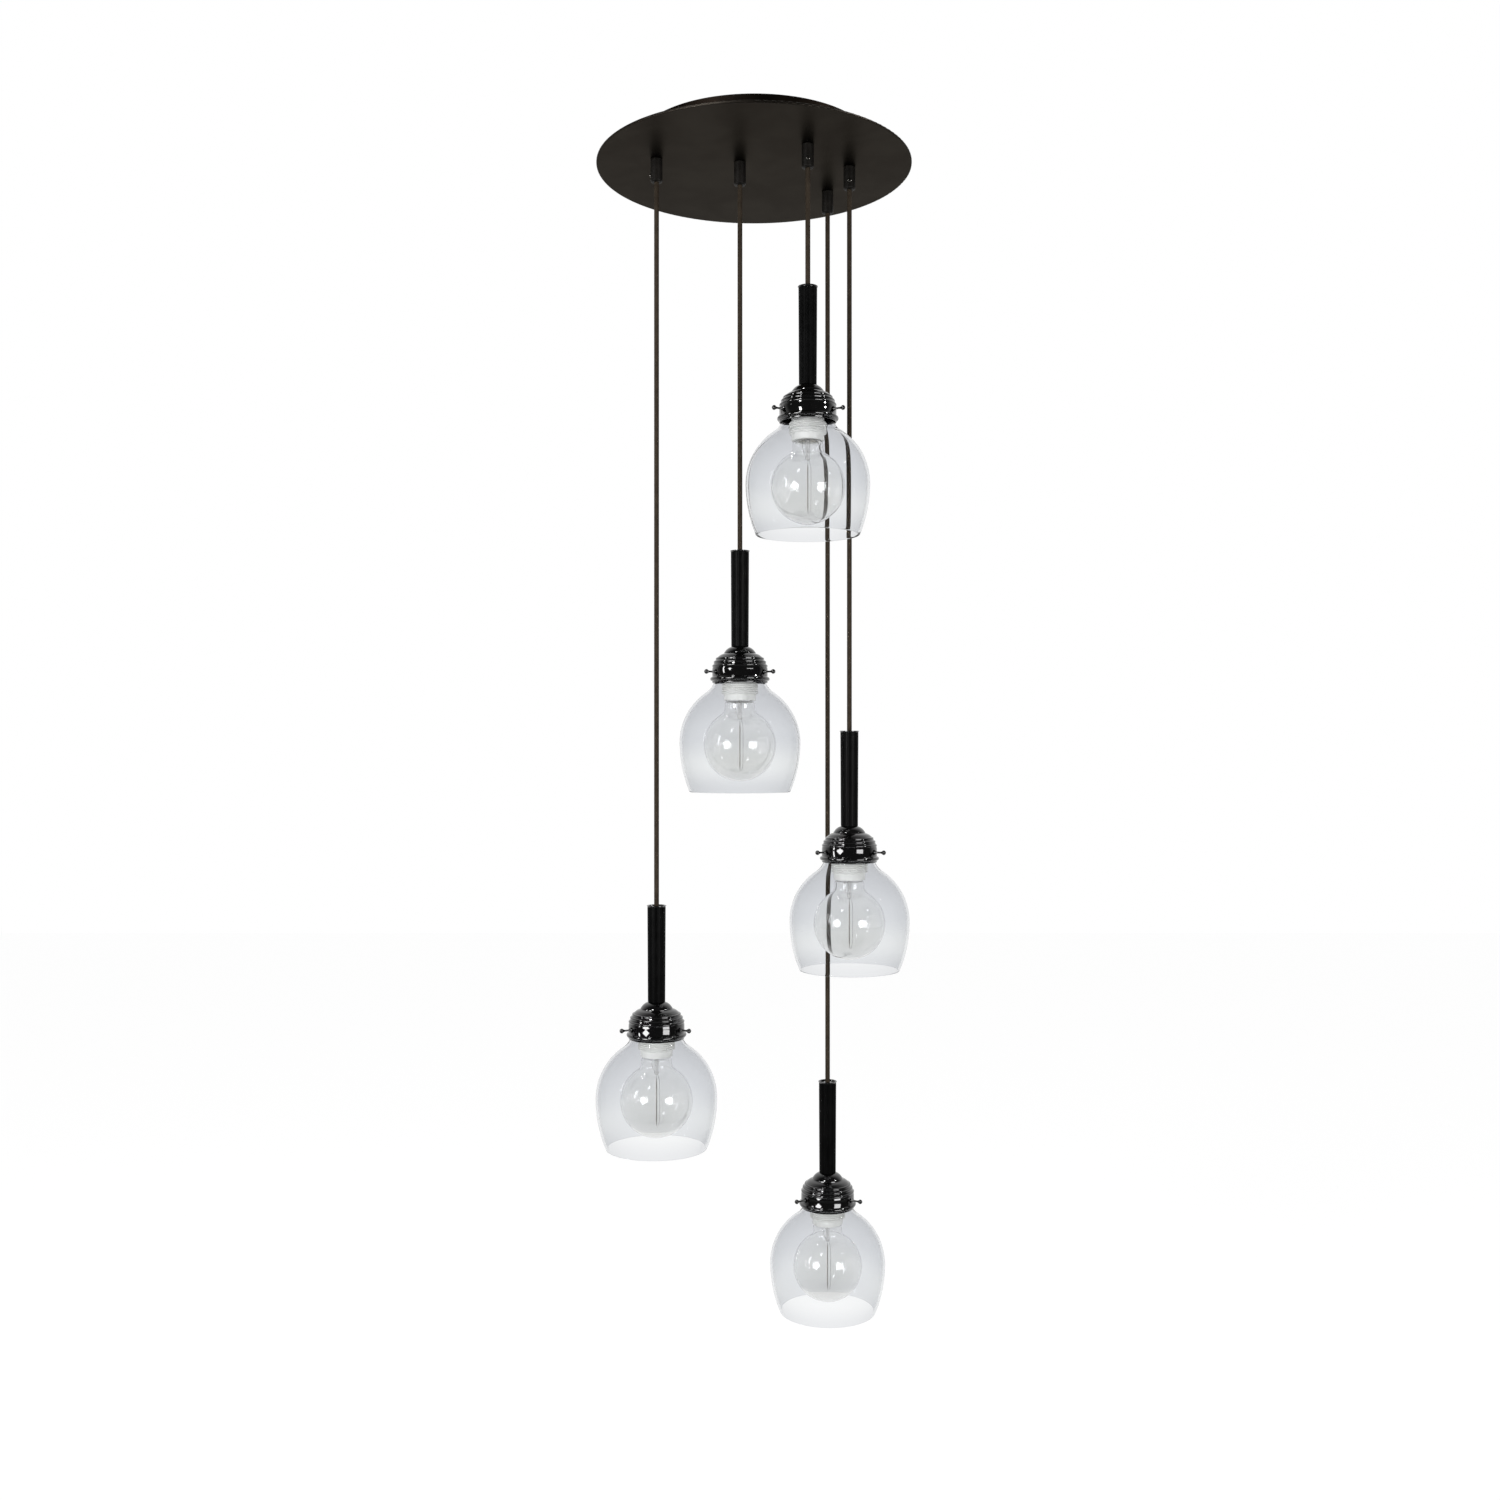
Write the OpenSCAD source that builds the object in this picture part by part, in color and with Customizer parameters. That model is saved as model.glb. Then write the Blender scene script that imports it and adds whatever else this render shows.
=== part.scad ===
// Cluster chandelier: a round canopy plate under a ceiling box carries five cords of
// different lengths, and each cord carries a pendant with an open glass shade.
// X runs to the right, Y away from the viewer and Z up. The origin is the middle of
// the face that meets the ceiling. A pendant's own zero is the top of its handle cap.

/* [Canopy plate] */
// Diameter of the round plate
plate_d = 360; // [320:1:420]
// Thickness of the round plate
plate_t = 3; // [2:0.1:5]
// Radius that rounds the plate's edge
plate_edge = 1; // [0.3:0.1:1]
// Diameter of the weld studs that hold the ceiling box
stud_d = 3; // [2.5:0.1:4]
// Height of the weld studs above the plate
stud_h = 7; // [5:0.5:10]
// Width across flats of the nuts on the studs
stud_nut_af = 5.5; // [5:0.1:7]
// Height of the nuts on the studs
stud_nut_h = 2.4; // [1.5:0.1:4]

/* [Ceiling box] */
// Outer diameter of the box
box_d = 264; // [262:1:300]
// Height of the box's wall
box_h = 27; // [26:0.5:40]
// Thickness of the box's wall and tabs
box_wall = 1.5; // [1:0.1:2]
// Number of tabs that meet the plate
tab_count = 4; // [3:1:6]
// Width of a tab
tab_w = 16; // [12:1:20]
// How far a tab reaches in from the wall
tab_reach = 10; // [9:0.5:12]

/* [Ceiling bracket] */
// Width of the bracket strip
bracket_w = 24; // [18:1:30]
// Thickness of the bracket strip
bracket_t = 2.5; // [2:0.1:3]
// Distance between the middles of the two ceiling slots
slot_spacing = 90; // [80:1:120]
// Width of a ceiling slot
slot_w = 5; // [4:0.1:6]
// Length of a ceiling slot from end to end
slot_len = 14; // [8:0.5:20]
// Depth of the bent ears at the strip's ends
ear_h = 20; // [17:0.5:22]
// Space between the ears and the box's wall
ear_gap = 0.8; // [0.7:0.1:2]
// Thread diameter of the side screws
side_screw_d = 4; // [3:0.1:5]
// Depth of the side screws below the ceiling
side_screw_z = 13; // [11:0.5:15]
// Length of the side screws' shanks
side_screw_len = 11; // [9:0.5:14]
// Head diameter of the side screws
side_head_d = 7; // [6:0.1:9]
// Head height of the side screws
side_head_h = 2.4; // [1.5:0.1:4]

/* [Wiring] */
// Length of the terminal block
block_len = 46; // [42:1:50]
// Width of the terminal block
block_w = 20; // [16:1:24]
// Height of the terminal block
block_h = 13; // [12:0.5:15]
// Middle of the terminal block, left to right
block_x = 25; // [23:1:27]
// Middle of the terminal block, front to back
block_y = -5; // [-8:1:-2]
// Distance between neighbouring entries of the terminal block
entry_pitch = 14; // [12:0.5:15]
// Depth of an entry
entry_depth = 5; // [3:0.5:7]
// How high a cord tail's middle runs below the ceiling
tail_z = 9; // [8:0.25:10]

/* [Cord grips] */
// Diameter of a grip's body
grip_d = 13.5; // [12:0.5:16]
// Length of a grip below the plate
grip_len = 26; // [20:1:34]
// Chamfer around a grip's lower end
grip_chamfer = 1.6; // [0.5:0.1:2]
// Thread diameter of a grip
thread_d = 10; // [9:0.5:11]
// Height of a grip's thread above the plate
thread_up = 8; // [7:0.5:9]
// Width across flats of a grip's nut
grip_nut_af = 14; // [13:0.5:15]
// Height of a grip's nut
grip_nut_h = 4; // [3:0.5:6]
// Diameter of the small screw that pinches the cord
pinch_d = 3; // [2:0.1:4]
// Height of the pinching screw above the grip's mouth
pinch_up = 9; // [7:0.5:12]
// Head diameter of the pinching screw
pinch_head_d = 4.6; // [4.2:0.1:6]
// Head height of the pinching screw
pinch_head_h = 1.4; // [1:0.1:2]

/* [Cords] */
// Diameter of a cord
cord_d = 5.5; // [4.5:0.1:6]
// Cord 1, place left to right
cord_1_x = 59; // [55:1:63]
// Cord 1, place front to back
cord_1_y = -71; // [-75:1:-67]
// Cord 1, drop from the plate to the top of its handle cap
cord_1_drop = 156; // [120:1:165]
// Cord 2, place left to right
cord_2_x = -16; // [-20:1:-12]
// Cord 2, place front to back
cord_2_y = -20; // [-24:1:-16]
// Cord 2, drop from the plate to the top of its handle cap
cord_2_drop = 440; // [430:1:500]
// Cord 3, place left to right
cord_3_x = 109; // [105:1:111]
// Cord 3, place front to back
cord_3_y = -6; // [-10:1:-2]
// Cord 3, drop from the plate to the top of its handle cap
cord_3_drop = 644; // [600:1:680]
// Cord 4, place left to right
cord_4_x = -110; // [-112:1:-106]
// Cord 4, place front to back
cord_4_y = -29; // [-33:1:-25]
// Cord 4, drop from the plate to the top of its handle cap
cord_4_drop = 841; // [780:1:900]
// Cord 5, place left to right
cord_5_x = 88; // [84:1:92]
// Cord 5, place front to back
cord_5_y = 71; // [67:1:75]
// Cord 5, drop from the plate to the top of its handle cap
cord_5_drop = 1061; // [1000:1:1120]

/* [Handle] */
// Length of handle and cap together
handle_len = 109; // [80:1:140]
// Diameter of the handle at its top
handle_top_d = 20.6; // [20:0.1:21.6]
// Diameter of the handle at its lower end
handle_low_d = 19.6; // [19:0.1:20.6]
// Diameter of the hollow inside the handle
handle_bore_d = 14; // [12:0.5:15]
// Thickness of the handle's closed lower end
handle_floor = 9; // [7:0.5:14]
// Number of flutes around the handle
flute_count = 16; // [10:1:20]
// Radius of the cutter that makes a flute
flute_r = 1.5; // [1.2:0.1:2]
// Depth of a flute
flute_depth = 0.8; // [0.3:0.1:1]
// Diameter of the cap's flared lip
cap_d = 22; // [21.8:0.1:24]
// Height of the cap's flared lip
cap_lip = 1.8; // [1.2:0.1:3]
// Width of the cap's raised rim
cap_rim = 1.2; // [0.8:0.1:2]
// Width of the slope from the rim into the dish
cap_slope = 0.6; // [0.2:0.1:1]
// Depth of the dish inside the rim
cap_dish = 1.2; // [0.5:0.1:1.5]
// Length of the cap's plug inside the handle
cap_plug = 10; // [5:0.5:15]

/* [Gallery] */
// Height of the gallery that holds the glass
gallery_h = 41; // [40:0.5:46]
// Diameter of the gallery's straight band
band_d = 63; // [62:0.5:66]
// Thickness of the gallery's sheet
gallery_wall = 1; // [0.8:0.1:1.2]
// Diameter of the flat seat under the handle
seat_d = 19; // [17:0.5:19]
// Diameter of the collar below the seat
collar_d = 35.6; // [34:0.2:38]
// Height of the collar
collar_h = 6.4; // [5:0.2:7]
// Height of the groove below the collar
groove_h = 0.9; // [0.5:0.1:1.2]
// Height from the collar to the dome's straight side, over groove and shoulder
shoulder_h = 5; // [4:0.1:6]
// Diameter of the dome above its first ridge
dome_d = 50; // [48:0.2:51]
// Height of the dome, with its ridges
dome_h = 18.6; // [17:0.2:19.4]
// Number of ridges around the dome
ridge_count = 3; // [2:1:4]
// Radius of a ridge's round back
ridge_r = 1.5; // [1.3:0.1:1.8]
// How far a ridge stands out of the dome
ridge_out = 0.7; // [0.4:0.1:0.9]
// Radius of the rolled lip
lip_r = 2.3; // [1.5:0.1:2.5]
// Height of the rolled lip above the gallery's lower edge
lip_up = 4.4; // [3.5:0.1:6]

/* [Thumb screws] */
// Number of thumb screws that hold the glass
screw_count = 3; // [3:1:4]
// Diameter of a thumb screw's shank
screw_d = 2.4; // [2:0.1:3]
// Height of the thumb screws above the gallery's lower edge
screw_up = 12; // [11:0.1:12.5]
// Reach of a thumb screw's head from the pendant's axis
screw_reach = 45.5; // [41:0.5:50]
// Diameter of a thumb screw's head
knob_d = 5.3; // [4.4:0.1:7]
// Length of a thumb screw's head
knob_len = 3.6; // [2:0.1:5]
// Length of the taper between shank and head
knob_taper = 1.2; // [0.6:0.1:2]
// Chamfer around a thumb screw's outer end
knob_edge = 0.8; // [0.3:0.1:1.2]

/* [Glass shade] */
// Widest diameter of the glass
glass_d = 137; // [130:1:144]
// Thickness of the glass
glass_t = 2.5; // [2:0.1:3]
// Diameter of the fitter lip inside the gallery
fitter_d = 58; // [57.4:0.1:58.6]
// Height of the fitter lip
fitter_h = 4; // [3:0.5:5]
// Diameter of the neck below the fitter lip
neck_d = 56; // [55:0.5:56.5]
// Radius of the flare between neck and belly
flare_r = 22; // [18:1:24]
// Height of the flare's upper end above the gallery's lower edge
flare_up = 7.93375; // [7:0.1:9]
// Height from the gallery's lower edge to the widest ring of the glass
belly_down = 67.5; // [66:0.5:69]
// Height from the gallery's lower edge to the rim of the glass
glass_drop = 124; // [118:1:142]
// Diameter of the open rim
rim_d = 115; // [108:1:122]

/* [Lamp holder] */
// Diameter of the holder's body
holder_d = 36; // [34:0.5:38]
// Diameter of the holder's ring
ring_d = 41.5; // [39.5:0.5:43]
// Height of the holder's ring
ring_h = 11; // [8:0.5:14]
// Distance from the gallery's lower edge down to the holder's ring
ring_down = 1.5; // [0.5:0.1:4]
// How far the holder reaches below the gallery
holder_down = 20.3; // [18:0.1:22]
// Height of the holder's body
holder_h = 50; // [48:0.5:52]
// Radius that rounds the holder's shoulder
holder_round = 4; // [2:0.5:5]
// Diameter of the collar that clamps the gallery from below
clamp_d = 16; // [13:0.5:18]
// Depth of the screw socket
socket_depth = 33; // [31:0.5:34]
// Thickness of the floor above the socket
socket_floor = 3; // [2:0.5:4]
// Radius of the wiring chamber
chamber_r = 12; // [8:0.5:13]
// Height of the holder's thread inside the handle
nipple_up = 7; // [5:0.5:9]
// Diameter of the cord's way through the threaded neck
nipple_bore = 7; // [6.4:0.1:7.6]

/* [Bulb] */
// Diameter of the globe bulb
bulb_d = 82; // [75:1:90]
// Distance from the holder's end to the middle of the globe
bulb_down = 50.2; // [47:0.1:54]
// Diameter of the globe's neck
bulb_neck_d = 34.6; // [32:0.2:36]
// Thickness of the bulb's glass
bulb_wall = 0.9; // [0.6:0.1:1.2]
// Diameter of the screw cap
screw_cap_d = 26.5; // [26:0.1:26.8]
// Thickness of the screw cap's sheet
screw_cap_wall = 0.5; // [0.3:0.1:0.8]
// Height of the screw cap's crown above its straight side
crown_h = 8; // [6:0.5:10]
// Diameter of the contact on the crown
contact_d = 9; // [6:0.5:12]
// Height of the contact
contact_h = 1.5; // [1:0.1:2.5]
// Distance from the screw cap's lower edge to the holder's end
screw_cap_up = 1.5; // [0.5:0.1:3]
// Diameter of the glass stem in the bulb
stem_d = 4.4; // [3:0.1:6]
// Length of the filament
filament_len = 58; // [40:1:60]
// Diameter of the filament
filament_d = 1.2; // [0.8:0.1:2]

/* [Fits] */
// Free space between a screw or stud and its hole, on the radius
screw_fit = 0.05; // [0.02:0.01:0.1]
// Free space between a cord and the hole that it passes, on the radius
cord_fit = 0.3; // [0.2:0.05:0.5]
// Free space around the cord's round end in the grip's mouth
swing_fit = 0.4; // [0.3:0.05:0.6]
// Free space between pieces that slip into each other, on the radius
slip_fit = 0.15; // [0.1:0.05:0.3]
// Free space between pieces that only come near each other
near_fit = 0.4; // [0.3:0.05:0.8]

/* [Hidden] */
$fn = 96;
PENDANTS = [1, 2, 3, 4, 5];
PENDANT_PIECES = [
    "cord", "handle_cap", "handle", "gallery", "thumb_screws", "shade",
    "lamp_holder", "bulb_cap", "bulb_glass", "bulb_filament"
];

// Places of the cords, and their drops
cord_xy = [
    [cord_1_x, cord_1_y],
    [cord_2_x, cord_2_y],
    [cord_3_x, cord_3_y],
    [cord_4_x, cord_4_y],
    [cord_5_x, cord_5_y]
];
cord_drop = [cord_1_drop, cord_2_drop, cord_3_drop, cord_4_drop, cord_5_drop];
// Way that each grip's small screw faces, in degrees
pinch_turn = [-90, 90, -90, 150, 60];

// Heights in the canopy
plate_top = -box_h;
plate_under = plate_top - plate_t;
mouth_z = plate_under - grip_len;
box_in_r = box_d / 2 - box_wall;
stud_r = box_in_r - tab_reach / 2;
tab_turn = 45;
cord_r = cord_d / 2;

// Wiring: the side of the block that each tail enters, and its place along that side
entry_side = [1, -1, 1, -1, 1];
entry_step = [-1, -1, 0, 0, 1];
tail_from = mouth_z + cord_r + 2 * swing_fit;
tail_up = 12;
tail_reach = [30, 12, 40, 60, 35];
tail_rings = 10;
tail_sides = 8;

// Heights in a pendant, from the top of the handle cap
gallery_z = -handle_len;
gallery_low = gallery_z - gallery_h;
holder_low = gallery_low - holder_down;
holder_top = holder_low + holder_h;
socket_top = holder_low + socket_depth;
chamber_floor = socket_top + socket_floor;
chamber_top = holder_top - holder_round;
cord_end = (chamber_floor + chamber_top) / 2;
screw_z = gallery_low + screw_up;
screw_turn = 90;
belly_z = gallery_low - belly_down;
rim_z = gallery_low - glass_drop;
bulb_z = holder_low - bulb_down;
crown_z = socket_top - near_fit - crown_h;
bulb_top = crown_z - screw_cap_wall - slip_fit;
stem_top = bulb_top - 2 * bulb_wall;
stem_low = bulb_z + filament_len / 2;

// Points along an arc about [x, z], from one angle to another
function arc(x, z, r, from, to, steps) =
    [for (k = [0 : steps]) let (a = from + (to - from) * k / steps) [x + r * cos(a), z + r * sin(a)]];

// Point at t on a curve with two ends and two handles
function curve(a, b, c, d, t) =
    pow(1 - t, 3) * a + 3 * pow(1 - t, 2) * t * b + 3 * (1 - t) * t * t * c + pow(t, 3) * d;

function unit(v) = v / norm(v);

// A round tube of flat sides along a list of points
module swept_tube(route, r, sides, side_way) {
    last = len(route) - 1;
    rings = [
        for (k = [0 : last])
            let (
                along = unit(route[min(k + 1, last)] - route[max(k - 1, 0)]),
                across = unit(cross(along, side_way)),
                up = cross(across, along)
            )
            [for (s = [0 : sides - 1])
                let (a = 360 * s / sides)
                route[k] + r * (cos(a) * across + sin(a) * up)]
    ];
    walls = [
        for (k = [0 : last - 1]) for (s = [0 : sides - 1])
            let (a = k * sides + s, b = k * sides + (s + 1) % sides)
            each [[a, b, b + sides], [a, b + sides, a + sides]]
    ];
    ends = [
        [for (s = [sides - 1 : -1 : 0]) s],
        [for (s = [0 : sides - 1]) last * sides + s]
    ];
    polyhedron(points = [for (ring = rings) each ring], faces = concat(walls, ends));
}

module at_cord(i) {
    translate([cord_xy[i - 1][0], cord_xy[i - 1][1], 0]) children();
}

module at_pendant(i) {
    at_cord(i) translate([0, 0, plate_under - cord_drop[i - 1]]) children();
}

// A cylinder that points along X from a given radius
module spoke(from, to, r) {
    translate([from, 0, 0]) rotate([0, 90, 0]) cylinder(h = to - from, r = r);
}

module at_tabs() {
    for (k = [0 : tab_count - 1]) rotate([0, 0, tab_turn + k * 360 / tab_count]) children();
}

// Ceiling bracket: a strip with two slots for the ceiling screws and two bent ears
module ceiling_bracket() {
    ear_out = sqrt(pow(box_in_r, 2) - pow(bracket_w / 2, 2)) - ear_gap;
    color("silver")
    difference() {
        union() {
            translate([-ear_out, -bracket_w / 2, -bracket_t]) cube([2 * ear_out, bracket_w, bracket_t]);
            for (side = [-1, 1])
                translate([side * (ear_out - bracket_t / 2) - bracket_t / 2, -bracket_w / 2, -ear_h])
                    cube([bracket_t, bracket_w, ear_h]);
        }
        for (side = [-1, 1]) translate([side * slot_spacing / 2, 0, -bracket_t - 1]) {
            reach = (slot_len - slot_w) / 2;
            for (end = [-reach, reach]) translate([end, 0, 0]) cylinder(h = bracket_t + 2, r = slot_w / 2);
            translate([-reach, -slot_w / 2, 0]) cube([2 * reach, slot_w, bracket_t + 2]);
        }
        for (turn = [0, 180])
            rotate([0, 0, turn]) translate([0, 0, -side_screw_z])
                spoke(ear_out - bracket_t - 1, ear_out + 1, side_screw_d / 2 + screw_fit);
    }
}

module side_screws() {
    under_head = box_d / 2 + screw_fit;
    color("silver")
    for (turn = [0, 180]) rotate([0, 0, turn]) translate([0, 0, -side_screw_z]) {
        spoke(under_head - side_screw_len, under_head + side_head_h, side_screw_d / 2);
        spoke(under_head, under_head + side_head_h, side_head_d / 2);
    }
}

// Ceiling box: a ring wall with tabs that are bolted to the plate
module ceiling_box() {
    color([0.13, 0.11, 0.1])
    difference() {
        union() {
            translate([0, 0, plate_top]) difference() {
                cylinder(h = box_h, r = box_d / 2);
                translate([0, 0, -1]) cylinder(h = box_h + 2, r = box_in_r);
            }
            intersection() {
                translate([0, 0, plate_top]) cylinder(h = box_wall, r = box_d / 2 - box_wall / 2);
                at_tabs() translate([box_in_r - tab_reach, -tab_w / 2, plate_top])
                    cube([tab_reach + box_wall, tab_w, box_wall]);
            }
        }
        at_tabs() translate([stud_r, 0, plate_top - 1])
            cylinder(h = box_wall + 2, r = stud_d / 2 + screw_fit);
        for (turn = [0, 180])
            rotate([0, 0, turn]) translate([0, 0, -side_screw_z])
                spoke(box_in_r - 2, box_d / 2 + 1, side_screw_d / 2 + screw_fit);
    }
}

// Canopy plate: a disc with a rounded edge, holes for the grips and weld studs on top
module canopy_plate() {
    color([0.17, 0.155, 0.145])
    difference() {
        union() {
            translate([0, 0, plate_under]) rotate_extrude() {
                square([plate_d / 2 - plate_edge, plate_t]);
                translate([0, plate_edge]) square([plate_d / 2, plate_t - 2 * plate_edge]);
                for (z = [plate_edge, plate_t - plate_edge])
                    translate([plate_d / 2 - plate_edge, z]) circle(r = plate_edge);
            }
            at_tabs() translate([stud_r, 0, plate_under + plate_t / 2])
                cylinder(h = plate_t / 2 + stud_h, r = stud_d / 2);
        }
        for (i = PENDANTS) at_cord(i) translate([0, 0, plate_under - 1])
            cylinder(h = plate_t + 2, r = thread_d / 2 + screw_fit);
    }
}

module plate_nuts() {
    color("silver")
    at_tabs() translate([stud_r, 0, plate_top + box_wall]) difference() {
        cylinder(h = stud_nut_h, r = stud_nut_af / sqrt(3), $fn = 6);
        translate([0, 0, -1]) cylinder(h = stud_nut_h + 2, r = stud_d / 2 + screw_fit);
    }
}

// Cord grips: threaded bushings that hold the cords under the plate
module cord_grips() {
    color([0.12, 0.11, 0.1])
    for (i = PENDANTS) at_cord(i) difference() {
        union() {
            translate([0, 0, mouth_z + grip_chamfer])
                cylinder(h = grip_len - grip_chamfer, r = grip_d / 2);
            translate([0, 0, mouth_z])
                cylinder(h = grip_chamfer, r1 = grip_d / 2 - grip_chamfer, r2 = grip_d / 2);
            translate([0, 0, plate_under - 1]) cylinder(h = plate_t + thread_up + 1, r = thread_d / 2);
        }
        translate([0, 0, mouth_z - 1])
            cylinder(h = grip_len + plate_t + thread_up + 2, r = cord_r + cord_fit);
        translate([0, 0, mouth_z]) sphere(r = cord_r + swing_fit);
        rotate([0, 0, pinch_turn[i - 1]]) translate([0, 0, mouth_z + pinch_up])
            spoke(0, grip_d, pinch_d / 2 + screw_fit);
    }
}

module grip_nuts() {
    color("silver")
    for (i = PENDANTS) at_cord(i) translate([0, 0, plate_top]) difference() {
        cylinder(h = grip_nut_h, r = grip_nut_af / sqrt(3), $fn = 6);
        translate([0, 0, -1]) cylinder(h = grip_nut_h + 2, r = thread_d / 2 + screw_fit);
    }
}

module grip_screws() {
    color("silver")
    for (i = PENDANTS) at_cord(i) rotate([0, 0, pinch_turn[i - 1]]) translate([0, 0, mouth_z + pinch_up]) {
        spoke(cord_r + screw_fit, grip_d / 2 + pinch_head_h, pinch_d / 2);
        spoke(grip_d / 2 + screw_fit, grip_d / 2 + pinch_head_h, pinch_head_d / 2);
    }
}

function entry_at(i) = [
    block_x + entry_side[i - 1] * block_w / 2,
    block_y + entry_step[i - 1] * entry_pitch,
    -tail_z
];

// Terminal block under the bracket, with an entry for each tail and one for the mains
module terminal_block() {
    color("ivory")
    difference() {
        translate([block_x - block_w / 2, block_y - block_len / 2, -bracket_t - block_h])
            cube([block_w, block_len, block_h]);
        for (side = [-1, 1]) for (step = [-1, 0, 1])
            translate([block_x + side * (block_w / 2 - entry_depth), block_y + step * entry_pitch, -tail_z])
                rotate([0, side * 90, 0]) cylinder(h = entry_depth + 1, r = cord_r + cord_fit);
    }
}

// Cord tails: each cord's end, from its grip to the terminal block
module cord_tails() {
    color([0.16, 0.13, 0.1])
    for (i = PENDANTS) {
        way = [entry_side[i - 1], 0, 0];
        entry = entry_at(i) - way * (entry_depth - cord_fit);
        grip = [cord_xy[i - 1][0], cord_xy[i - 1][1], 0];
        start = grip + [0, 0, plate_top + thread_up];
        outside = entry_at(i) + way * 2;
        bend = [
            for (k = [0 : tail_rings])
                curve(start, start + [0, 0, tail_up], outside + way * tail_reach[i - 1], outside, k / tail_rings)
        ];
        side_way = unit(cross([0, 0, 1], outside - start));
        swept_tube(concat([grip + [0, 0, tail_from]], bend, [entry]), cord_r, tail_sides, side_way);
    }
}

// Hanging cord: straight from the grip's mouth down into the lamp holder
module cord(i) {
    length = cord_drop[i - 1] - grip_len - cord_end;
    color([0.2, 0.17, 0.13])
    at_cord(i) translate([0, 0, mouth_z]) {
        translate([0, 0, -length]) cylinder(h = length, r = cord_r);
        sphere(r = cord_r);
    }
}

module handle_cap(i) {
    cord_way = cord_r + cord_fit;
    plug_r = handle_bore_d / 2 - slip_fit;
    color([0.06, 0.06, 0.06])
    at_pendant(i) rotate_extrude() polygon([
        [cord_way, -cap_dish],
        [cap_d / 2 - cap_rim - cap_slope, -cap_dish],
        [cap_d / 2 - cap_rim, 0],
        [cap_d / 2, 0],
        [cap_d / 2, -cap_lip / 2],
        [handle_top_d / 2, -cap_lip],
        [plug_r, -cap_lip],
        [plug_r, -cap_lip - cap_plug],
        [cord_way, -cap_lip - cap_plug]
    ]);
}

// Handle: a slightly tapered hollow tube with flutes down its sides
module handle(i) {
    length = handle_len - cap_lip;
    lean = atan((handle_top_d - handle_low_d) / 2 / length);
    color([0.07, 0.07, 0.07])
    at_pendant(i) difference() {
        translate([0, 0, gallery_z]) cylinder(h = length, r1 = handle_low_d / 2, r2 = handle_top_d / 2);
        for (k = [0 : flute_count - 1]) rotate([0, 0, (k + 0.5) * 360 / flute_count])
            translate([handle_top_d / 2 - flute_depth + flute_r, 0, -cap_lip])
                rotate([0, lean, 0]) translate([0, 0, -length - 2]) cylinder(h = length + 4, r = flute_r);
        translate([0, 0, gallery_z + handle_floor]) cylinder(h = length, r = handle_bore_d / 2);
        translate([0, 0, gallery_z - 1]) cylinder(h = handle_floor + 2, r = thread_d / 2 + screw_fit);
    }
}

// A line moved towards the axis and down by a wall's thickness
function inset(line, t) = [
    for (k = [0 : len(line) - 1])
        let (
            last = len(line) - 1,
            along = unit(line[min(k + 1, last)] - line[max(k - 1, 0)])
        )
        line[k] + t * [along[1], -along[0]]
];

// Gallery: a spun cover with a collar, a dome with ridges, a band and a rolled lip
module gallery(i) {
    collar_r = collar_d / 2;
    dome_r = dome_d / 2;
    dome_from = -collar_h - shoulder_h;
    dome_to = -collar_h - dome_h;
    band_r = band_d / 2;
    line = [
        [seat_d / 2, 0],
        [seat_d / 2 + 3, -collar_h / 4],
        [collar_r - 2.3, -collar_h * 0.62],
        [collar_r, -collar_h],
        [collar_r + 0.2, -collar_h - groove_h],
        [(collar_r + dome_r) / 2 + 1, -collar_h - shoulder_h / 2],
        [dome_r, dome_from],
        [band_r, dome_to],
        [band_r, -gallery_h]
    ];
    inner = inset(line, gallery_wall);
    ridge_way = unit([band_r - dome_r, dome_to - dome_from]);
    color([0.04, 0.04, 0.04])
    at_pendant(i) translate([0, 0, gallery_z]) difference() {
        union() {
            rotate_extrude() polygon(concat([[0, 0]], line, [[0, -gallery_h]]));
            rotate_extrude() translate([band_r, lip_up - gallery_h]) circle(r = lip_r);
            for (k = [0 : ridge_count - 1]) {
                share = (k + 0.4) / ridge_count;
                at = [dome_r, dome_from] + share * [band_r - dome_r, dome_to - dome_from];
                rotate_extrude()
                    translate(at + (ridge_r - ridge_out) * [ridge_way[1], -ridge_way[0]]) circle(r = ridge_r);
            }
        }
        rotate_extrude()
            polygon(concat([[0, -gallery_wall]], inner, [[band_r - gallery_wall, -gallery_h - 1], [0, -gallery_h - 1]]));
        translate([0, 0, -gallery_wall - 1]) cylinder(h = gallery_wall + 2, r = thread_d / 2 + screw_fit);
        at_screws(screw_z - gallery_z)
            spoke(band_r - gallery_wall - 1, band_r + lip_r, screw_d / 2 + screw_fit);
    }
}

module at_screws(z) {
    for (k = [0 : screw_count - 1])
        rotate([0, 0, screw_turn + k * 360 / screw_count]) translate([0, 0, z]) children();
}

// Thumb screws: each presses on the glass's neck, below the fitter lip
module thumb_screws(i) {
    color([0.05, 0.05, 0.05])
    at_pendant(i) at_screws(screw_z) {
        spoke(neck_d / 2 + slip_fit, screw_reach - knob_len, screw_d / 2);
        translate([screw_reach - knob_len - knob_taper, 0, 0]) rotate([0, 90, 0])
            cylinder(h = knob_taper, r1 = screw_d / 2, r2 = knob_d / 2);
        spoke(screw_reach - knob_len, screw_reach - knob_edge, knob_d / 2);
        translate([screw_reach - knob_edge, 0, 0]) rotate([0, 90, 0])
            cylinder(h = knob_edge, r1 = knob_d / 2, r2 = knob_d / 2 - knob_edge);
    }
}

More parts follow.
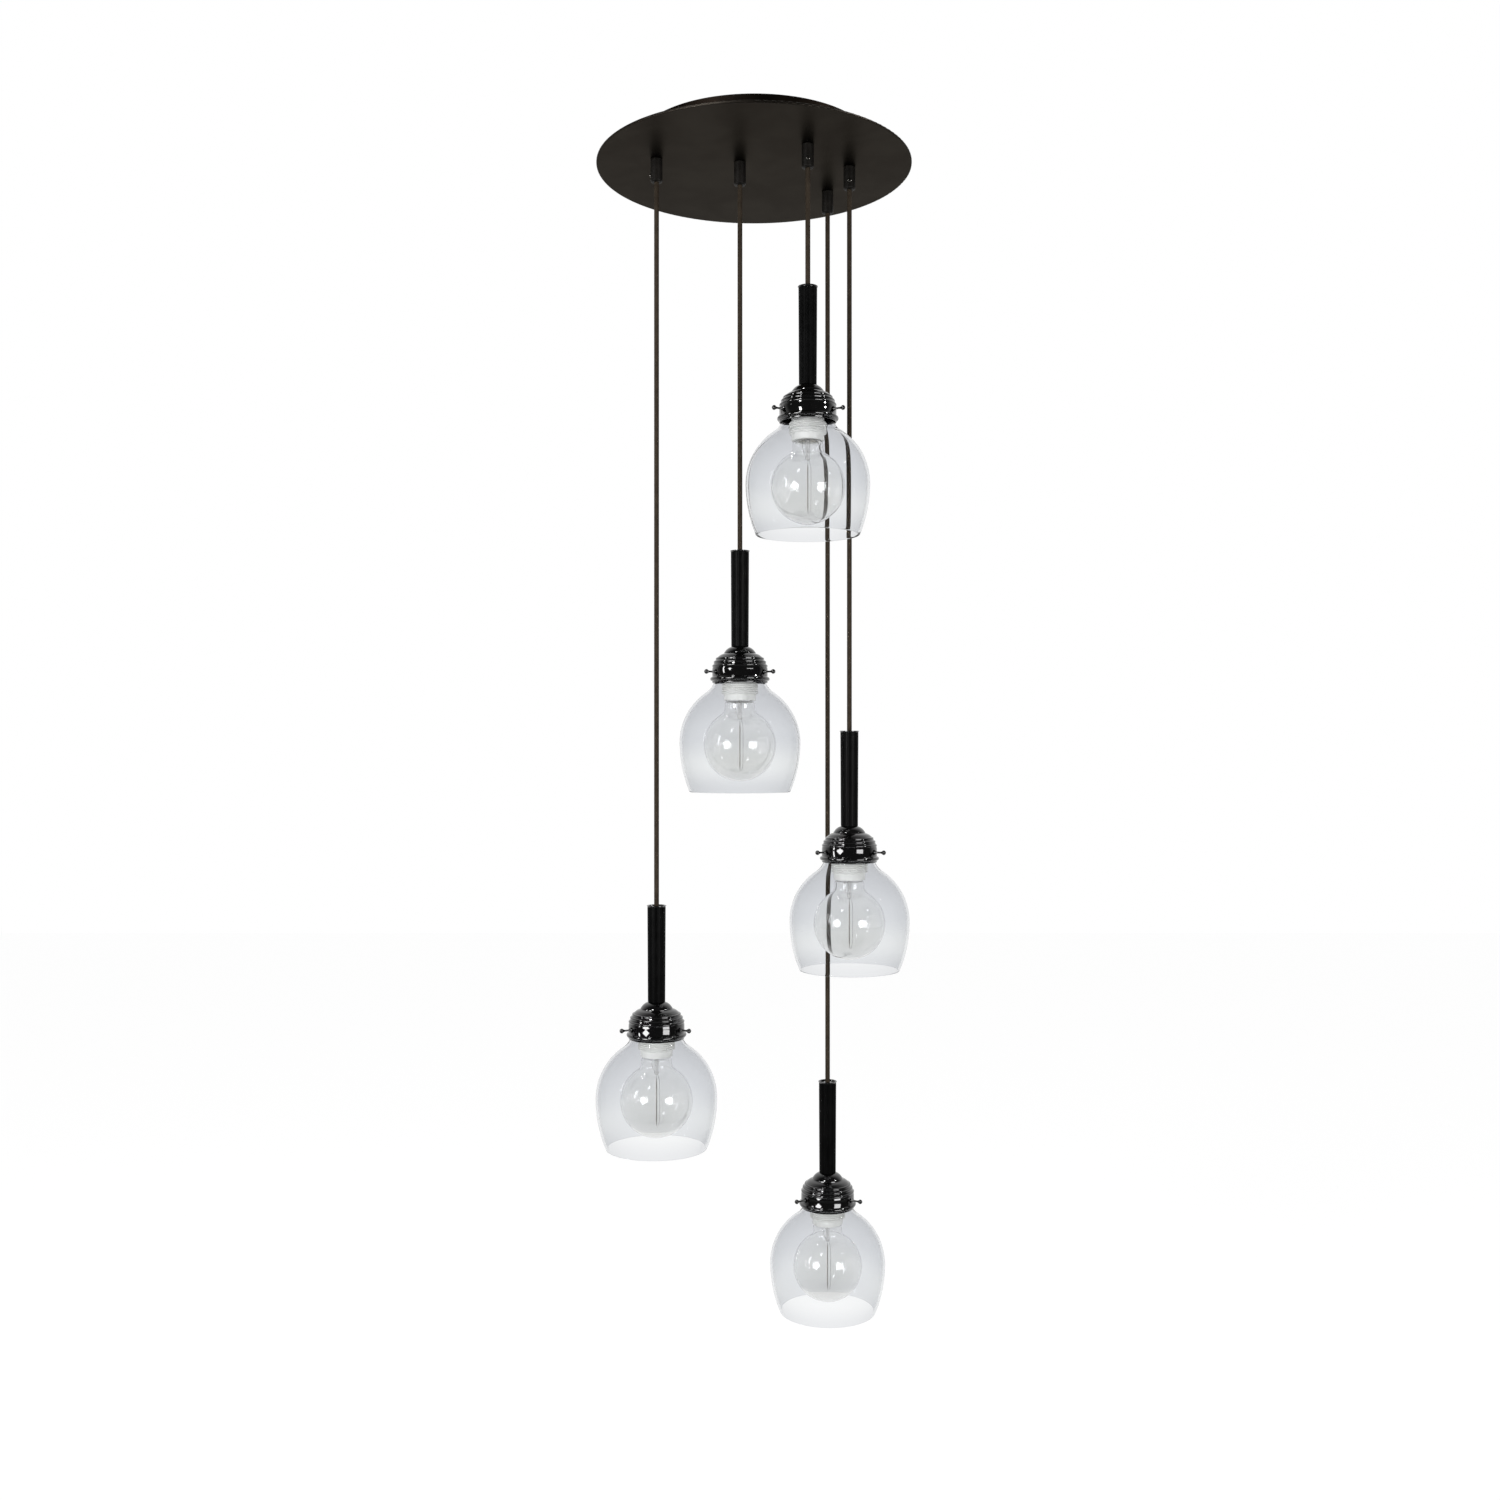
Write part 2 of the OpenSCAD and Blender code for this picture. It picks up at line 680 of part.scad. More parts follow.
// Outline of the glass at a distance inside its outer face, from the neck to the rim.
// The flare's arc touches the belly's upper arc where the line between their middles crosses both.
function glass_side(inside) =
    let (
        belly_r = glass_d / 2,
        flare_x = neck_d / 2 + flare_r,
        swell = belly_r - neck_d / 2,
        drop = belly_down + flare_up,
        upper_r = (swell * swell + drop * drop) / 2 / swell - flare_r,
        upper_x = belly_r - upper_r,
        touch = atan2(drop, flare_x - upper_x),
        rise = glass_drop - belly_down,
        narrow = belly_r - rim_d / 2,
        wall_r = (rise * rise + narrow * narrow) / 2 / narrow,
        wall_turn = asin(rise / wall_r)
    )
    concat(
        arc(flare_x, gallery_low + flare_up, flare_r + inside, 180, 180 + touch, 6),
        arc(upper_x, belly_z, upper_r - inside, touch * 11 / 12, 0, 11),
        arc(belly_r - wall_r, belly_z, wall_r - inside, -wall_turn / 6, -wall_turn, 5)
    );

function back_to_front(list) = [for (k = [len(list) - 1 : -1 : 0]) list[k]];

// Glass shade: a fitter lip, a neck that flares, a round belly and an open rim
module shade(i) {
    lip_low = screw_z + screw_d / 2 + near_fit;
    lip_top = lip_low + fitter_h;
    outside = glass_side(0);
    inside = glass_side(glass_t);
    color([0.8, 0.85, 0.87, 0.35])
    at_pendant(i) rotate_extrude() polygon(concat(
        [[neck_d / 2 - glass_t, lip_top], [fitter_d / 2, lip_top], [fitter_d / 2, lip_low + 0.5]],
        [[neck_d / 2, lip_low]],
        outside,
        back_to_front(inside)
    ));
}

// Lamp holder: a threaded neck, a collar, a wiring chamber, a ring and a screw socket
module lamp_holder(i) {
    ring_top = gallery_low - ring_down;
    socket_r = screw_cap_d / 2 + near_fit;
    clamp_top = gallery_z - gallery_wall;
    color([0.75, 0.76, 0.72])
    at_pendant(i) rotate_extrude() difference() {
        union() {
            translate([0, holder_low]) square([holder_d / 2, holder_h - holder_round]);
            translate([0, holder_low]) square([holder_d / 2 - holder_round, holder_h]);
            translate([holder_d / 2 - holder_round, holder_top - holder_round]) intersection() {
                circle(r = holder_round);
                square(holder_round);
            }
            translate([0, ring_top - ring_h]) square([ring_d / 2, ring_h]);
            translate([0, holder_top - 1]) square([clamp_d / 2, clamp_top - holder_top + 1]);
            translate([0, holder_top]) square([thread_d / 2, gallery_z + nipple_up - holder_top]);
        }
        translate([0, chamber_top - 1]) square([nipple_bore / 2, gallery_z + nipple_up - chamber_top + 2]);
        translate([0, chamber_floor]) square([chamber_r, chamber_top - chamber_floor]);
        translate([0, holder_low - 1]) square([socket_r, socket_depth + 1]);
    }
}

// Screw cap of the bulb: a thin sleeve, a closed crown and a contact
module bulb_cap(i) {
    cap_r = screw_cap_d / 2;
    cap_low = holder_low + screw_cap_up;
    floor_z = crown_z - screw_cap_wall;
    color([0.72, 0.7, 0.62])
    at_pendant(i) rotate_extrude() polygon([
        [0, crown_z + crown_h],
        [contact_d / 2, crown_z + crown_h],
        [contact_d / 2 + 0.5, crown_z + crown_h - contact_h],
        [cap_r - 1, crown_z + crown_h / 4],
        [cap_r, crown_z],
        [cap_r, cap_low],
        [cap_r - screw_cap_wall, cap_low],
        [cap_r - screw_cap_wall, floor_z],
        [0, floor_z]
    ]);
}

// Globe bulb: a closed glass envelope whose neck stands in the screw cap
module bulb_glass(i) {
    inner_r = screw_cap_d / 2 - screw_cap_wall - slip_fit;
    shoulder_z = holder_low - near_fit;
    neck_r = bulb_neck_d / 2;
    globe_r = bulb_d / 2;
    blend_z = bulb_z + sqrt(globe_r * globe_r - neck_r * neck_r);
    color([0.9, 0.9, 0.88, 0.3])
    at_pendant(i) difference() {
        bulb_form(bulb_top, inner_r, shoulder_z, neck_r, globe_r, blend_z);
        bulb_form(
            stem_top, inner_r - bulb_wall, shoulder_z - bulb_wall,
            neck_r - bulb_wall, globe_r - bulb_wall, blend_z
        );
    }
}

// A neck in the screw cap, a wider neck below it, and a globe with a cone where they meet
module bulb_form(top, top_r, shoulder_z, neck_r, globe_r, blend_z) {
    translate([0, 0, bulb_z]) sphere(r = globe_r);
    translate([0, 0, shoulder_z - 1]) cylinder(h = top - shoulder_z + 1, r = top_r);
    translate([0, 0, blend_z - 4]) cylinder(h = shoulder_z - blend_z + 4, r = neck_r);
    translate([0, 0, blend_z - 2]) cylinder(h = 6, r1 = neck_r + 3, r2 = neck_r);
}

// Stem and filament inside the bulb
module bulb_filament(i) {
    color([0.5, 0.45, 0.4])
    at_pendant(i) {
        translate([0, 0, stem_low]) cylinder(h = stem_top - stem_low, r = stem_d / 2);
        translate([0, 0, stem_low - filament_len]) cylinder(h = filament_len + 1, r = filament_d / 2);
    }
}

ceiling_bracket();
side_screws();
ceiling_box();
canopy_plate();
plate_nuts();
cord_grips();
grip_nuts();
grip_screws();
terminal_block();
cord_tails();
for (i = PENDANTS) {
    cord(i);
    handle_cap(i);
    handle(i);
    gallery(i);
    thumb_screws(i);
    shade(i);
    lamp_holder(i);
    bulb_cap(i);
    bulb_glass(i);
    bulb_filament(i);
}
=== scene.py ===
import math

import bmesh
import bpy
from mathutils import Matrix, Vector


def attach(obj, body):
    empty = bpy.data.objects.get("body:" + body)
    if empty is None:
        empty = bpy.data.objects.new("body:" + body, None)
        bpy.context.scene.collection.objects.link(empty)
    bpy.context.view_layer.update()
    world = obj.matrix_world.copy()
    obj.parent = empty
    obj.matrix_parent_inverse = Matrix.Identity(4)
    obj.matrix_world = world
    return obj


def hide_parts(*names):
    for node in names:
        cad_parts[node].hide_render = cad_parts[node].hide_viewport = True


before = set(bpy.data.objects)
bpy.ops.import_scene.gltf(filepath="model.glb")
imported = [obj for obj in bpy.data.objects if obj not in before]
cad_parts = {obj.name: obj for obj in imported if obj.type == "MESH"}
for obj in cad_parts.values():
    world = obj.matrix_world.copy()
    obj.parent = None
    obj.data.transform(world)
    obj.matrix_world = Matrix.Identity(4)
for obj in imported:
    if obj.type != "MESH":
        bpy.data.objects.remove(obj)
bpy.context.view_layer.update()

# Places in metres; a pendant's own zero is the top of its handle cap
layout = {
    "places": {1: (0.059, -0.071), 2: (-0.016, -0.020), 3: (0.109, -0.006), 4: (-0.110, -0.029),
               5: (0.088, 0.071)},
    "drops": {1: 0.156, 2: 0.440, 3: 0.644, 4: 0.841, 5: 1.061},
    "plateUnder": -0.030,
    "gripMouth": -0.056,
    "gallery": -0.109,
}
pendants = sorted(layout["places"])

sameSpot = 1e-7    # points as close as this are one
near = 1e-6
layDown = Matrix.Rotation(math.pi / 2, 4, "Y")    # brings what stands along Z to lie along X
white = (1, 1, 1, 1)


def zeroOf(i):
    x, y = layout["places"][i]
    return Vector((x, y, layout["plateUnder"] - layout["drops"][i]))


def arcPoints(x, z, radius, start, stop, steps):
    angles = [math.radians(start + (stop - start) * k / steps) for k in range(steps + 1)]
    return [(x + radius * math.cos(a), z + radius * math.sin(a)) for a in angles]


def angleOf(vert):
    return math.atan2(vert.co.y, vert.co.x)


def spinOutline(bm, outline, steps, closed=True):
    # outline: pairs of radius and height; a point on the axis becomes a pole
    verts = [bm.verts.new((r, 0, z)) for r, z in outline]
    edges = [bm.edges.new(pair) for pair in zip(verts, verts[1:])]
    if closed:
        edges.append(bm.edges.new((verts[-1], verts[0])))
    before = set(bm.faces)
    bmesh.ops.spin(bm, geom=verts + edges, cent=(0, 0, 0), axis=(0, 0, 1), dvec=(0, 0, 0),
                   angle=2 * math.pi, steps=steps, use_merge=True, use_duplicate=False)
    faces = [face for face in bm.faces if face not in before]
    made = list({vert for face in faces for vert in face.verts})
    bmesh.ops.remove_doubles(bm, verts=made, dist=sameSpot)
    bmesh.ops.delete(bm, geom=[edge for edge in bm.edges if not edge.link_faces], context="EDGES")
    faces = [face for face in bm.faces if face not in before]
    bmesh.ops.recalc_face_normals(bm, faces=faces)
    return faces


def growRing(bm, edges):
    # extrudes a ring of edges and gives back the new ring's points and edges
    grown = bmesh.ops.extrude_edge_only(bm, edges=edges)["geom"]
    verts = [part for part in grown if isinstance(part, bmesh.types.BMVert)]
    made = [part for part in grown if isinstance(part, bmesh.types.BMEdge)]
    fresh = set(verts)
    return verts, [edge for edge in made if fresh.issuperset(edge.verts)]


def mergeInto(bm, part):
    mesh = bpy.data.meshes.new("part")
    part.to_mesh(mesh)
    part.free()
    bm.from_mesh(mesh)
    bpy.data.meshes.remove(mesh)


def wrapUv(bm):
    # u goes once round the Z axis, v is the height in metres
    layer = bm.loops.layers.uv.verify()
    for face in bm.faces:
        middle = face.calc_center_median()
        base = math.atan2(middle.y, middle.x)
        for loop in face.loops:
            at = loop.vert.co
            turn = 0 if math.hypot(at.x, at.y) < near else angleOf(loop.vert) - base
            turn = (turn + math.pi) % (2 * math.pi) - math.pi
            loop[layer].uv = ((base + turn) / (2 * math.pi) + 0.5, at.z)


def meshFrom(bm, name, sharpAngle=35):
    mesh = bpy.data.meshes.new(name)
    bm.to_mesh(mesh)
    bm.free()
    mesh.shade_smooth()
    mesh.set_sharp_from_angle(angle=math.radians(sharpAngle))
    return mesh


def spunMesh(name, outline, steps, sharpAngle, closed=True):
    bm = bmesh.new()
    spinOutline(bm, outline, steps, closed)
    wrapUv(bm)
    return meshFrom(bm, name, sharpAngle)


def placePiece(name, mesh, material, body, node, at=(0, 0, 0)):
    mesh.name = name
    mesh.transform(Matrix.Translation(at))
    mesh.materials.clear()
    mesh.materials.append(material)
    piece = bpy.data.objects.new(name, mesh)
    bpy.context.scene.collection.objects.link(piece)
    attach(piece, body)
    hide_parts(node)
    return piece


def dressNode(node, material):
    # a CAD node that stays gets its finish
    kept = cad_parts[node]
    kept.data.materials.clear()
    kept.data.materials.append(material)


def addNode(tree, kind, inputs=None, **settings):
    # an input's value is a number, a colour or another node's socket
    node = tree.nodes.new(kind)
    for key, value in settings.items():
        setattr(node, key, value)
    for key, value in (inputs or {}).items():
        if isinstance(value, bpy.types.NodeSocket):
            tree.links.new(value, node.inputs[key])
        else:
            node.inputs[key].default_value = value
    return node


def maths(tree, operation, a, b=0.0, c=0.0):
    return addNode(tree, "ShaderNodeMath", {0: a, 1: b, 2: c}, operation=operation).outputs[0]


def groupNode(tree, group, inputs):
    return addNode(tree, "ShaderNodeGroup", inputs, node_tree=group)


def mixColours(tree, share, first, second):
    # a Mix node keeps its two colours at inputs 6 and 7, and their mix at output 2
    mix = addNode(tree, "ShaderNodeMix", {"Factor": share, 6: first, 7: second}, data_type="RGBA")
    return mix.outputs[2]


def uvParts(tree):
    uv = addNode(tree, "ShaderNodeTexCoord").outputs["UV"]
    return addNode(tree, "ShaderNodeSeparateXYZ", {0: uv})


def newGroup(name, inputs, outputs):
    group = bpy.data.node_groups.new(name, "ShaderNodeTree")
    for label, kind, value in inputs:
        socket = group.interface.new_socket(name=label, in_out="INPUT", socket_type=kind)
        socket.default_value = value
    for label, kind in outputs:
        group.interface.new_socket(name=label, in_out="OUTPUT", socket_type=kind)
    return group, group.nodes.new("NodeGroupInput"), group.nodes.new("NodeGroupOutput")


# Clouds of colour and a fine grain, for lacquer, plating and mouldings
def patinaGroup():
    group, start, end = newGroup(
        "patina",
        [("Clouds", "NodeSocketFloat", 30.0), ("Grain", "NodeSocketFloat", 900.0)],
        [("Mask", "NodeSocketFloat"), ("Grain", "NodeSocketFloat")],
    )
    cloudShare, grainShare = 0.75, 0.35
    place = addNode(group, "ShaderNodeTexCoord").outputs["Object"]
    clouds = addNode(group, "ShaderNodeTexNoise", {
        "Vector": place, "Scale": start.outputs["Clouds"], "Detail": 4.0, "Roughness": 0.6,
        "Distortion": 0.4})
    grain = addNode(group, "ShaderNodeTexNoise", {
        "Vector": place, "Scale": start.outputs["Grain"], "Detail": 3.0, "Roughness": 0.55})
    spread = addNode(group, "ShaderNodeMapRange", {
        "Value": clouds.outputs["Fac"], "From Min": 0.35, "From Max": 0.65},
        interpolation_type="SMOOTHSTEP")
    broad = maths(group, "MULTIPLY", spread.outputs[0], cloudShare)
    mixed = maths(group, "MULTIPLY_ADD", grain.outputs["Fac"], grainShare, broad)
    group.links.new(mixed, end.inputs["Mask"])
    group.links.new(grain.outputs["Fac"], end.inputs["Grain"])
    return group


# Rings left by spinning or turning, along the UV's height
def turnedGroup():
    group, start, end = newGroup(
        "turnedLines",
        [("Pitch", "NodeSocketFloat", 0.0004)],
        [("Lines", "NodeSocketFloat")],
    )
    steps = maths(group, "DIVIDE", uvParts(group).outputs["Y"], start.outputs["Pitch"])
    along = addNode(group, "ShaderNodeCombineXYZ", {"X": steps})
    lines = addNode(group, "ShaderNodeTexNoise", {"Vector": along.outputs[0], "Scale": 1.0, "Detail": 2.0})
    group.links.new(lines.outputs["Fac"], end.inputs["Lines"])
    return group


# Two sets of threads that cross over a cord, from its UV map
def braidGroup():
    group, start, end = newGroup(
        "braid",
        [("Threads", "NodeSocketFloat", 8.0), ("Pitch", "NodeSocketFloat", 0.007)],
        [("Height", "NodeSocketFloat")],
    )
    parts = uvParts(group)
    around = maths(group, "MULTIPLY", parts.outputs["X"], start.outputs["Threads"])
    along = maths(group, "DIVIDE", parts.outputs["Y"], start.outputs["Pitch"])
    down = maths(group, "MULTIPLY", along, start.outputs["Threads"])
    leans = [maths(group, "ADD", around, down), maths(group, "SUBTRACT", around, down)]
    ridges = []
    for lean in leans:
        wave = maths(group, "SINE", maths(group, "MULTIPLY", lean, 2 * math.pi))
        ridges.append(maths(group, "ABSOLUTE", wave))
    checks = [maths(group, "GREATER_THAN", maths(group, "FRACT", lean), 0.5) for lean in leans]
    over = maths(group, "ABSOLUTE", maths(group, "SUBTRACT", checks[0], checks[1]))
    first = maths(group, "MULTIPLY", ridges[0], over)
    second = maths(group, "MULTIPLY", ridges[1], maths(group, "SUBTRACT", 1.0, over))
    group.links.new(maths(group, "ADD", first, second), end.inputs["Height"])
    return group


patina = patinaGroup()
turned = turnedGroup()
braid = braidGroup()


def newShader(name, values):
    # values are the same all over the surface, so they stand on the shader's own sockets
    material = bpy.data.materials.new(name)
    material.use_nodes = True
    shader = material.node_tree.nodes["Principled BSDF"]
    for socket, value in values.items():
        shader.inputs[socket].default_value = value
    return material, material.node_tree, shader


def solidFinish(name, look):
    # dark and light colours in clouds, roughness between two values, and a faint relief
    material, tree, shader = newShader(name, {
        "Metallic": look.get("metal", 0.0), "Specular IOR Level": look.get("specular", 0.5),
        "Specular Tint": (*look.get("edge", (1, 1, 1)), 1), "Alpha": look.get("alpha", 1.0)})
    cover = groupNode(tree, patina, {"Clouds": look["clouds"], "Grain": look["grain"]})
    colour = mixColours(tree, cover.outputs["Mask"], (*look["dark"], 1), (*look["light"], 1))
    tree.links.new(colour, shader.inputs["Base Color"])
    low, high = look["rough"]
    rough = addNode(tree, "ShaderNodeMapRange", {
        "Value": cover.outputs["Grain"], "From Min": 0.3, "From Max": 0.7, "To Min": low, "To Max": high})
    tree.links.new(rough.outputs[0], shader.inputs["Roughness"])
    relief = cover.outputs["Grain"]
    if look.get("rings"):
        ringShare, grainShare = 0.7, 0.3
        lines = groupNode(tree, turned, {"Pitch": look["rings"]})
        fine = maths(tree, "MULTIPLY", relief, grainShare)
        relief = maths(tree, "MULTIPLY_ADD", lines.outputs["Lines"], ringShare, fine)
    bump = addNode(tree, "ShaderNodeBump", {"Height": relief, "Distance": look["relief"]})
    tree.links.new(bump.outputs[0], shader.inputs["Normal"])
    return material


def glassFinish(name, look):
    # tinted by height and towards the outline, painted shade and painted light over the glass's own tint;
    # shadow and scattered rays pass it, so what is inside is lit
    material, tree, shader = newShader(name, {
        "Transmission Weight": 1.0, "IOR": look["ior"], "Roughness": 0.0,
        "Specular IOR Level": look.get("shine", 0.5)})
    low, high = look["heights"]
    share = addNode(tree, "ShaderNodeMapRange", {
        "Value": uvParts(tree).outputs["Y"], "From Min": low, "From Max": high})
    # the tint by height stands in for shade and reflection on the glass: painted shade
    ramp = addNode(tree, "ShaderNodeValToRGB", {0: share.outputs[0]})
    stops = ramp.color_ramp.elements
    ramp.color_ramp.interpolation = "EASE"
    while len(stops) < len(look["tintsWithPaintedShade"]):
        stops.new(0.5)
    for stop, (at, tint) in zip(stops, look["tintsWithPaintedShade"]):
        stop.position = at
        stop.color = (*tint, 1)
    # towards the outline the colour turns to the finish's outline colour, painted in place of the light and
    # shade at the glass's edges
    outline = addNode(tree, "ShaderNodeLayerWeight", {"Blend": look["paintedEdgeBlend"]}).outputs["Facing"]
    weight = maths(tree, "MULTIPLY", outline, look["paintedEdgeWeight"])
    colour = mixColours(tree, weight, ramp.outputs["Color"], (*look["outline"], 1))
    tree.links.new(colour, shader.inputs["Base Color"])
    place = addNode(tree, "ShaderNodeTexCoord").outputs["Object"]
    wave = addNode(tree, "ShaderNodeTexNoise", {"Vector": place, "Scale": look["ripple"], "Detail": 1.0})
    bump = addNode(tree, "ShaderNodeBump", {"Height": wave.outputs["Fac"], "Distance": look["relief"]})
    tree.links.new(bump.outputs[0], shader.inputs["Normal"])
    path = addNode(tree, "ShaderNodeLightPath")
    shadow = maths(tree, "MULTIPLY", path.outputs["Is Shadow Ray"], look["letThrough"])
    through = maths(tree, "MAXIMUM", shadow, path.outputs["Is Diffuse Ray"])
    tree.links.new(maths(tree, "SUBTRACT", 1.0, through), shader.inputs["Alpha"])
    return material


cameraView = {"at": (-0.0046, -1.741, -0.696), "pitch": 90, "lens": 36.43, "sensor": 36.0, "nearest": 0.01}

cameraData = bpy.data.cameras.new("camera")
cameraData.lens = cameraView["lens"]
cameraData.sensor_width = cameraView["sensor"]
cameraData.clip_start = cameraView["nearest"]
camera = bpy.data.objects.new("camera", cameraData)
camera.location = cameraView["at"]
camera.rotation_euler = (math.radians(cameraView["pitch"]), 0, 0)
bpy.context.scene.collection.objects.link(camera)
bpy.context.scene.camera = camera

cord = {
    "radius": 0.00275,
    "end": -0.1293,            # below the pendant's zero, inside the lamp holder
    "steps": 20,
    "sides": 28,
    "topAngles": (30, 60, 85),    # the round end in the grip's mouth
    "dark": (0.02, 0.0148, 0.0102),
    "light": (0.035, 0.0265, 0.0182),
    "clouds": 120.0,
    "grain": 2600.0,
    "rough": (0.5, 0.8),
    "specular": 0.06,
    "threads": 8.0,
    "pitch": 0.0075,
    "relief": 0.000018,
}


def cordFinish():
    material, tree, shader = newShader("braidedCord", {"Specular IOR Level": cord["specular"]})
    weave = groupNode(tree, braid, {"Threads": cord["threads"], "Pitch": cord["pitch"]})
    cover = groupNode(tree, patina, {"Clouds": cord["clouds"], "Grain": cord["grain"]})
    share = maths(tree, "MULTIPLY", weave.outputs["Height"], cover.outputs["Mask"])
    colour = mixColours(tree, share, (*cord["dark"], 1), (*cord["light"], 1))
    tree.links.new(colour, shader.inputs["Base Color"])
    low, high = cord["rough"]
    rough = addNode(tree, "ShaderNodeMapRange", {
        "Value": cover.outputs["Grain"], "To Min": low, "To Max": high})
    tree.links.new(rough.outputs[0], shader.inputs["Roughness"])
    bump = addNode(tree, "ShaderNodeBump", {"Height": weave.outputs["Height"], "Distance": cord["relief"]})
    tree.links.new(bump.outputs[0], shader.inputs["Normal"])
    return material


def makeCord(i, material):
    x, y = layout["places"][i]
    top = layout["gripMouth"]
    length = top - (zeroOf(i).z + cord["end"])
    step = length / cord["steps"]
    bm = bmesh.new()
    ring = bmesh.ops.create_circle(bm, segments=cord["sides"], radius=cord["radius"])["verts"]
    edges = list(bm.edges)
    for _ in range(cord["steps"]):
        verts, edges = growRing(bm, edges)
        bmesh.ops.translate(bm, verts=verts, vec=(0, 0, -step))
    bmesh.ops.contextual_create(bm, geom=edges)
    edges = [edge for edge in bm.edges if all(vert in ring for vert in edge.verts)]
    size, rise = 1.0, 0.0
    for angle in cord["topAngles"]:
        verts, edges = growRing(bm, edges)
        newSize, newRise = math.cos(math.radians(angle)), math.sin(math.radians(angle)) * cord["radius"]
        bmesh.ops.scale(bm, verts=verts, vec=(newSize / size, newSize / size, 1))
        bmesh.ops.translate(bm, verts=verts, vec=(0, 0, newRise - rise))
        size, rise = newSize, newRise
    bmesh.ops.contextual_create(bm, geom=edges)
    bmesh.ops.recalc_face_normals(bm, faces=bm.faces)
    wrapUv(bm)
    name = f"hangingCord_{i}"
    piece = placePiece(name, meshFrom(bm, name), material, f"hanging_cord_{i}", f"cord_{i}",
                       at=(x, y, top))


cordMaterial = cordFinish()
for i in pendants:
    makeCord(i, cordMaterial)
print("cords and camera made")


canopyFinish = {
    "plate": {"dark": (0.022, 0.0185, 0.0155), "light": (0.031, 0.027, 0.0225), "rough": (0.36, 0.44),
              "metal": 1.0, "edge": (0.51, 0.505, 0.495), "clouds": 16.0, "grain": 1400.0,
              "relief": 0.000008},
    "box": {"dark": (0.005, 0.0038, 0.003), "light": (0.0115, 0.0085, 0.0065), "rough": (0.4, 0.5),
            "metal": 1.0, "edge": (0.4, 0.38, 0.36), "clouds": 20.0, "grain": 1400.0, "relief": 0.000008},
    "grip": {"dark": (0.003, 0.0025, 0.002), "light": (0.008, 0.007, 0.006), "rough": (0.42, 0.52),
             "specular": 0.08, "clouds": 90.0, "grain": 1800.0, "relief": 0.000004},
    "zinc": {"dark": (0.46, 0.46, 0.44), "light": (0.62, 0.62, 0.6), "rough": (0.3, 0.5), "metal": 1.0,
             "clouds": 60.0, "grain": 1500.0, "relief": 0.00002},
    "screw": {"dark": (0.16, 0.15, 0.14), "light": (0.24, 0.23, 0.21), "rough": (0.2, 0.3), "metal": 1.0,
              "clouds": 150.0, "grain": 2500.0, "relief": 0.000005},
    "block": {"dark": (0.62, 0.6, 0.52), "light": (0.7, 0.68, 0.6), "rough": (0.4, 0.55),
              "clouds": 60.0, "grain": 1500.0, "relief": 0.00002},
    "tail": {"dark": cord["dark"], "light": cord["light"], "rough": (0.6, 0.8), "specular": 0.2,
             "clouds": 400.0, "grain": 2600.0, "relief": 0.0001},
}
canopyMaterials = {key: solidFinish(f"{key}Finish", look) for key, look in canopyFinish.items()}

keptNodes = {
    "canopy_plate": "plate", "ceiling_box": "box", "ceiling_bracket": "zinc", "plate_nuts": "zinc",
    "grip_nuts": "zinc", "terminal_block": "block", "cord_tails": "tail",
}
for node, key in keptNodes.items():
    dressNode(node, canopyMaterials[key])

grip = {
    "radius": 0.00675,
    "edge": 0.0022,        # rounding of the lower end
    "edgeFrom": -84,
    "edgeSteps": 7,
    "bevel": 0.0004,
    "bore": 0.0031,
    "thread": {"crest": 0.005, "root": 0.0046, "pitch": 0.001},
    "top": -0.019,
    "plateTop": -0.027,
    "steps": 48,
}


def gripOutline():
    radius, edge, bevel, thread = grip["radius"], grip["edge"], grip["bevel"], grip["thread"]
    crest, root, pitch = thread["crest"], thread["root"], thread["pitch"]
    low, under = layout["gripMouth"], layout["plateUnder"]
    line = [(grip["bore"], low), (radius - edge - bevel, low)]
    line += arcPoints(radius - edge, low + edge, edge, grip["edgeFrom"], 0, grip["edgeSteps"])
    line += [(radius, under - bevel), (radius - bevel, under), (crest, under)]
    z = grip["plateTop"]
    while z < grip["top"] - pitch / 2:
        line += [(crest, z), (root, z + pitch / 2)]
        z += pitch
    line += [(root, grip["top"]), (grip["bore"], grip["top"])]
    return line


def makeGrips():
    bm = bmesh.new()
    for i in pendants:
        faces = spinOutline(bm, gripOutline(), grip["steps"])
        verts = list({vert for face in faces for vert in face.verts})
        bmesh.ops.translate(bm, verts=verts, vec=(*layout["places"][i], 0))
    placePiece("cordGrips", meshFrom(bm, "cordGrips"), canopyMaterials["grip"], "canopy", "cord_grips")


# Radii of shank and head, heights along the screw, and the slot's width
smallScrew = {
    "pinch": {"shank": 0.0015, "from": 0.0028, "head": 0.0023, "under": 0.0068, "over": 0.00815,
              "slot": 0.0006},
    "side": {"shank": 0.002, "from": 0.12105, "head": 0.0035, "under": 0.13205, "over": 0.13445,
             "slot": 0.0009},
    "roundShare": 0.3,     # of the head's height, as its slot's depth below
    "slotShare": 0.5,
    "roundSteps": 4,
    "steps": 32,
    "pinchTurns": {1: -90, 2: 90, 3: -90, 4: 150, 5: 60},
    "pinchUp": 0.009,
    "sideTurns": (0, 180),
    "sideZ": -0.013,
}


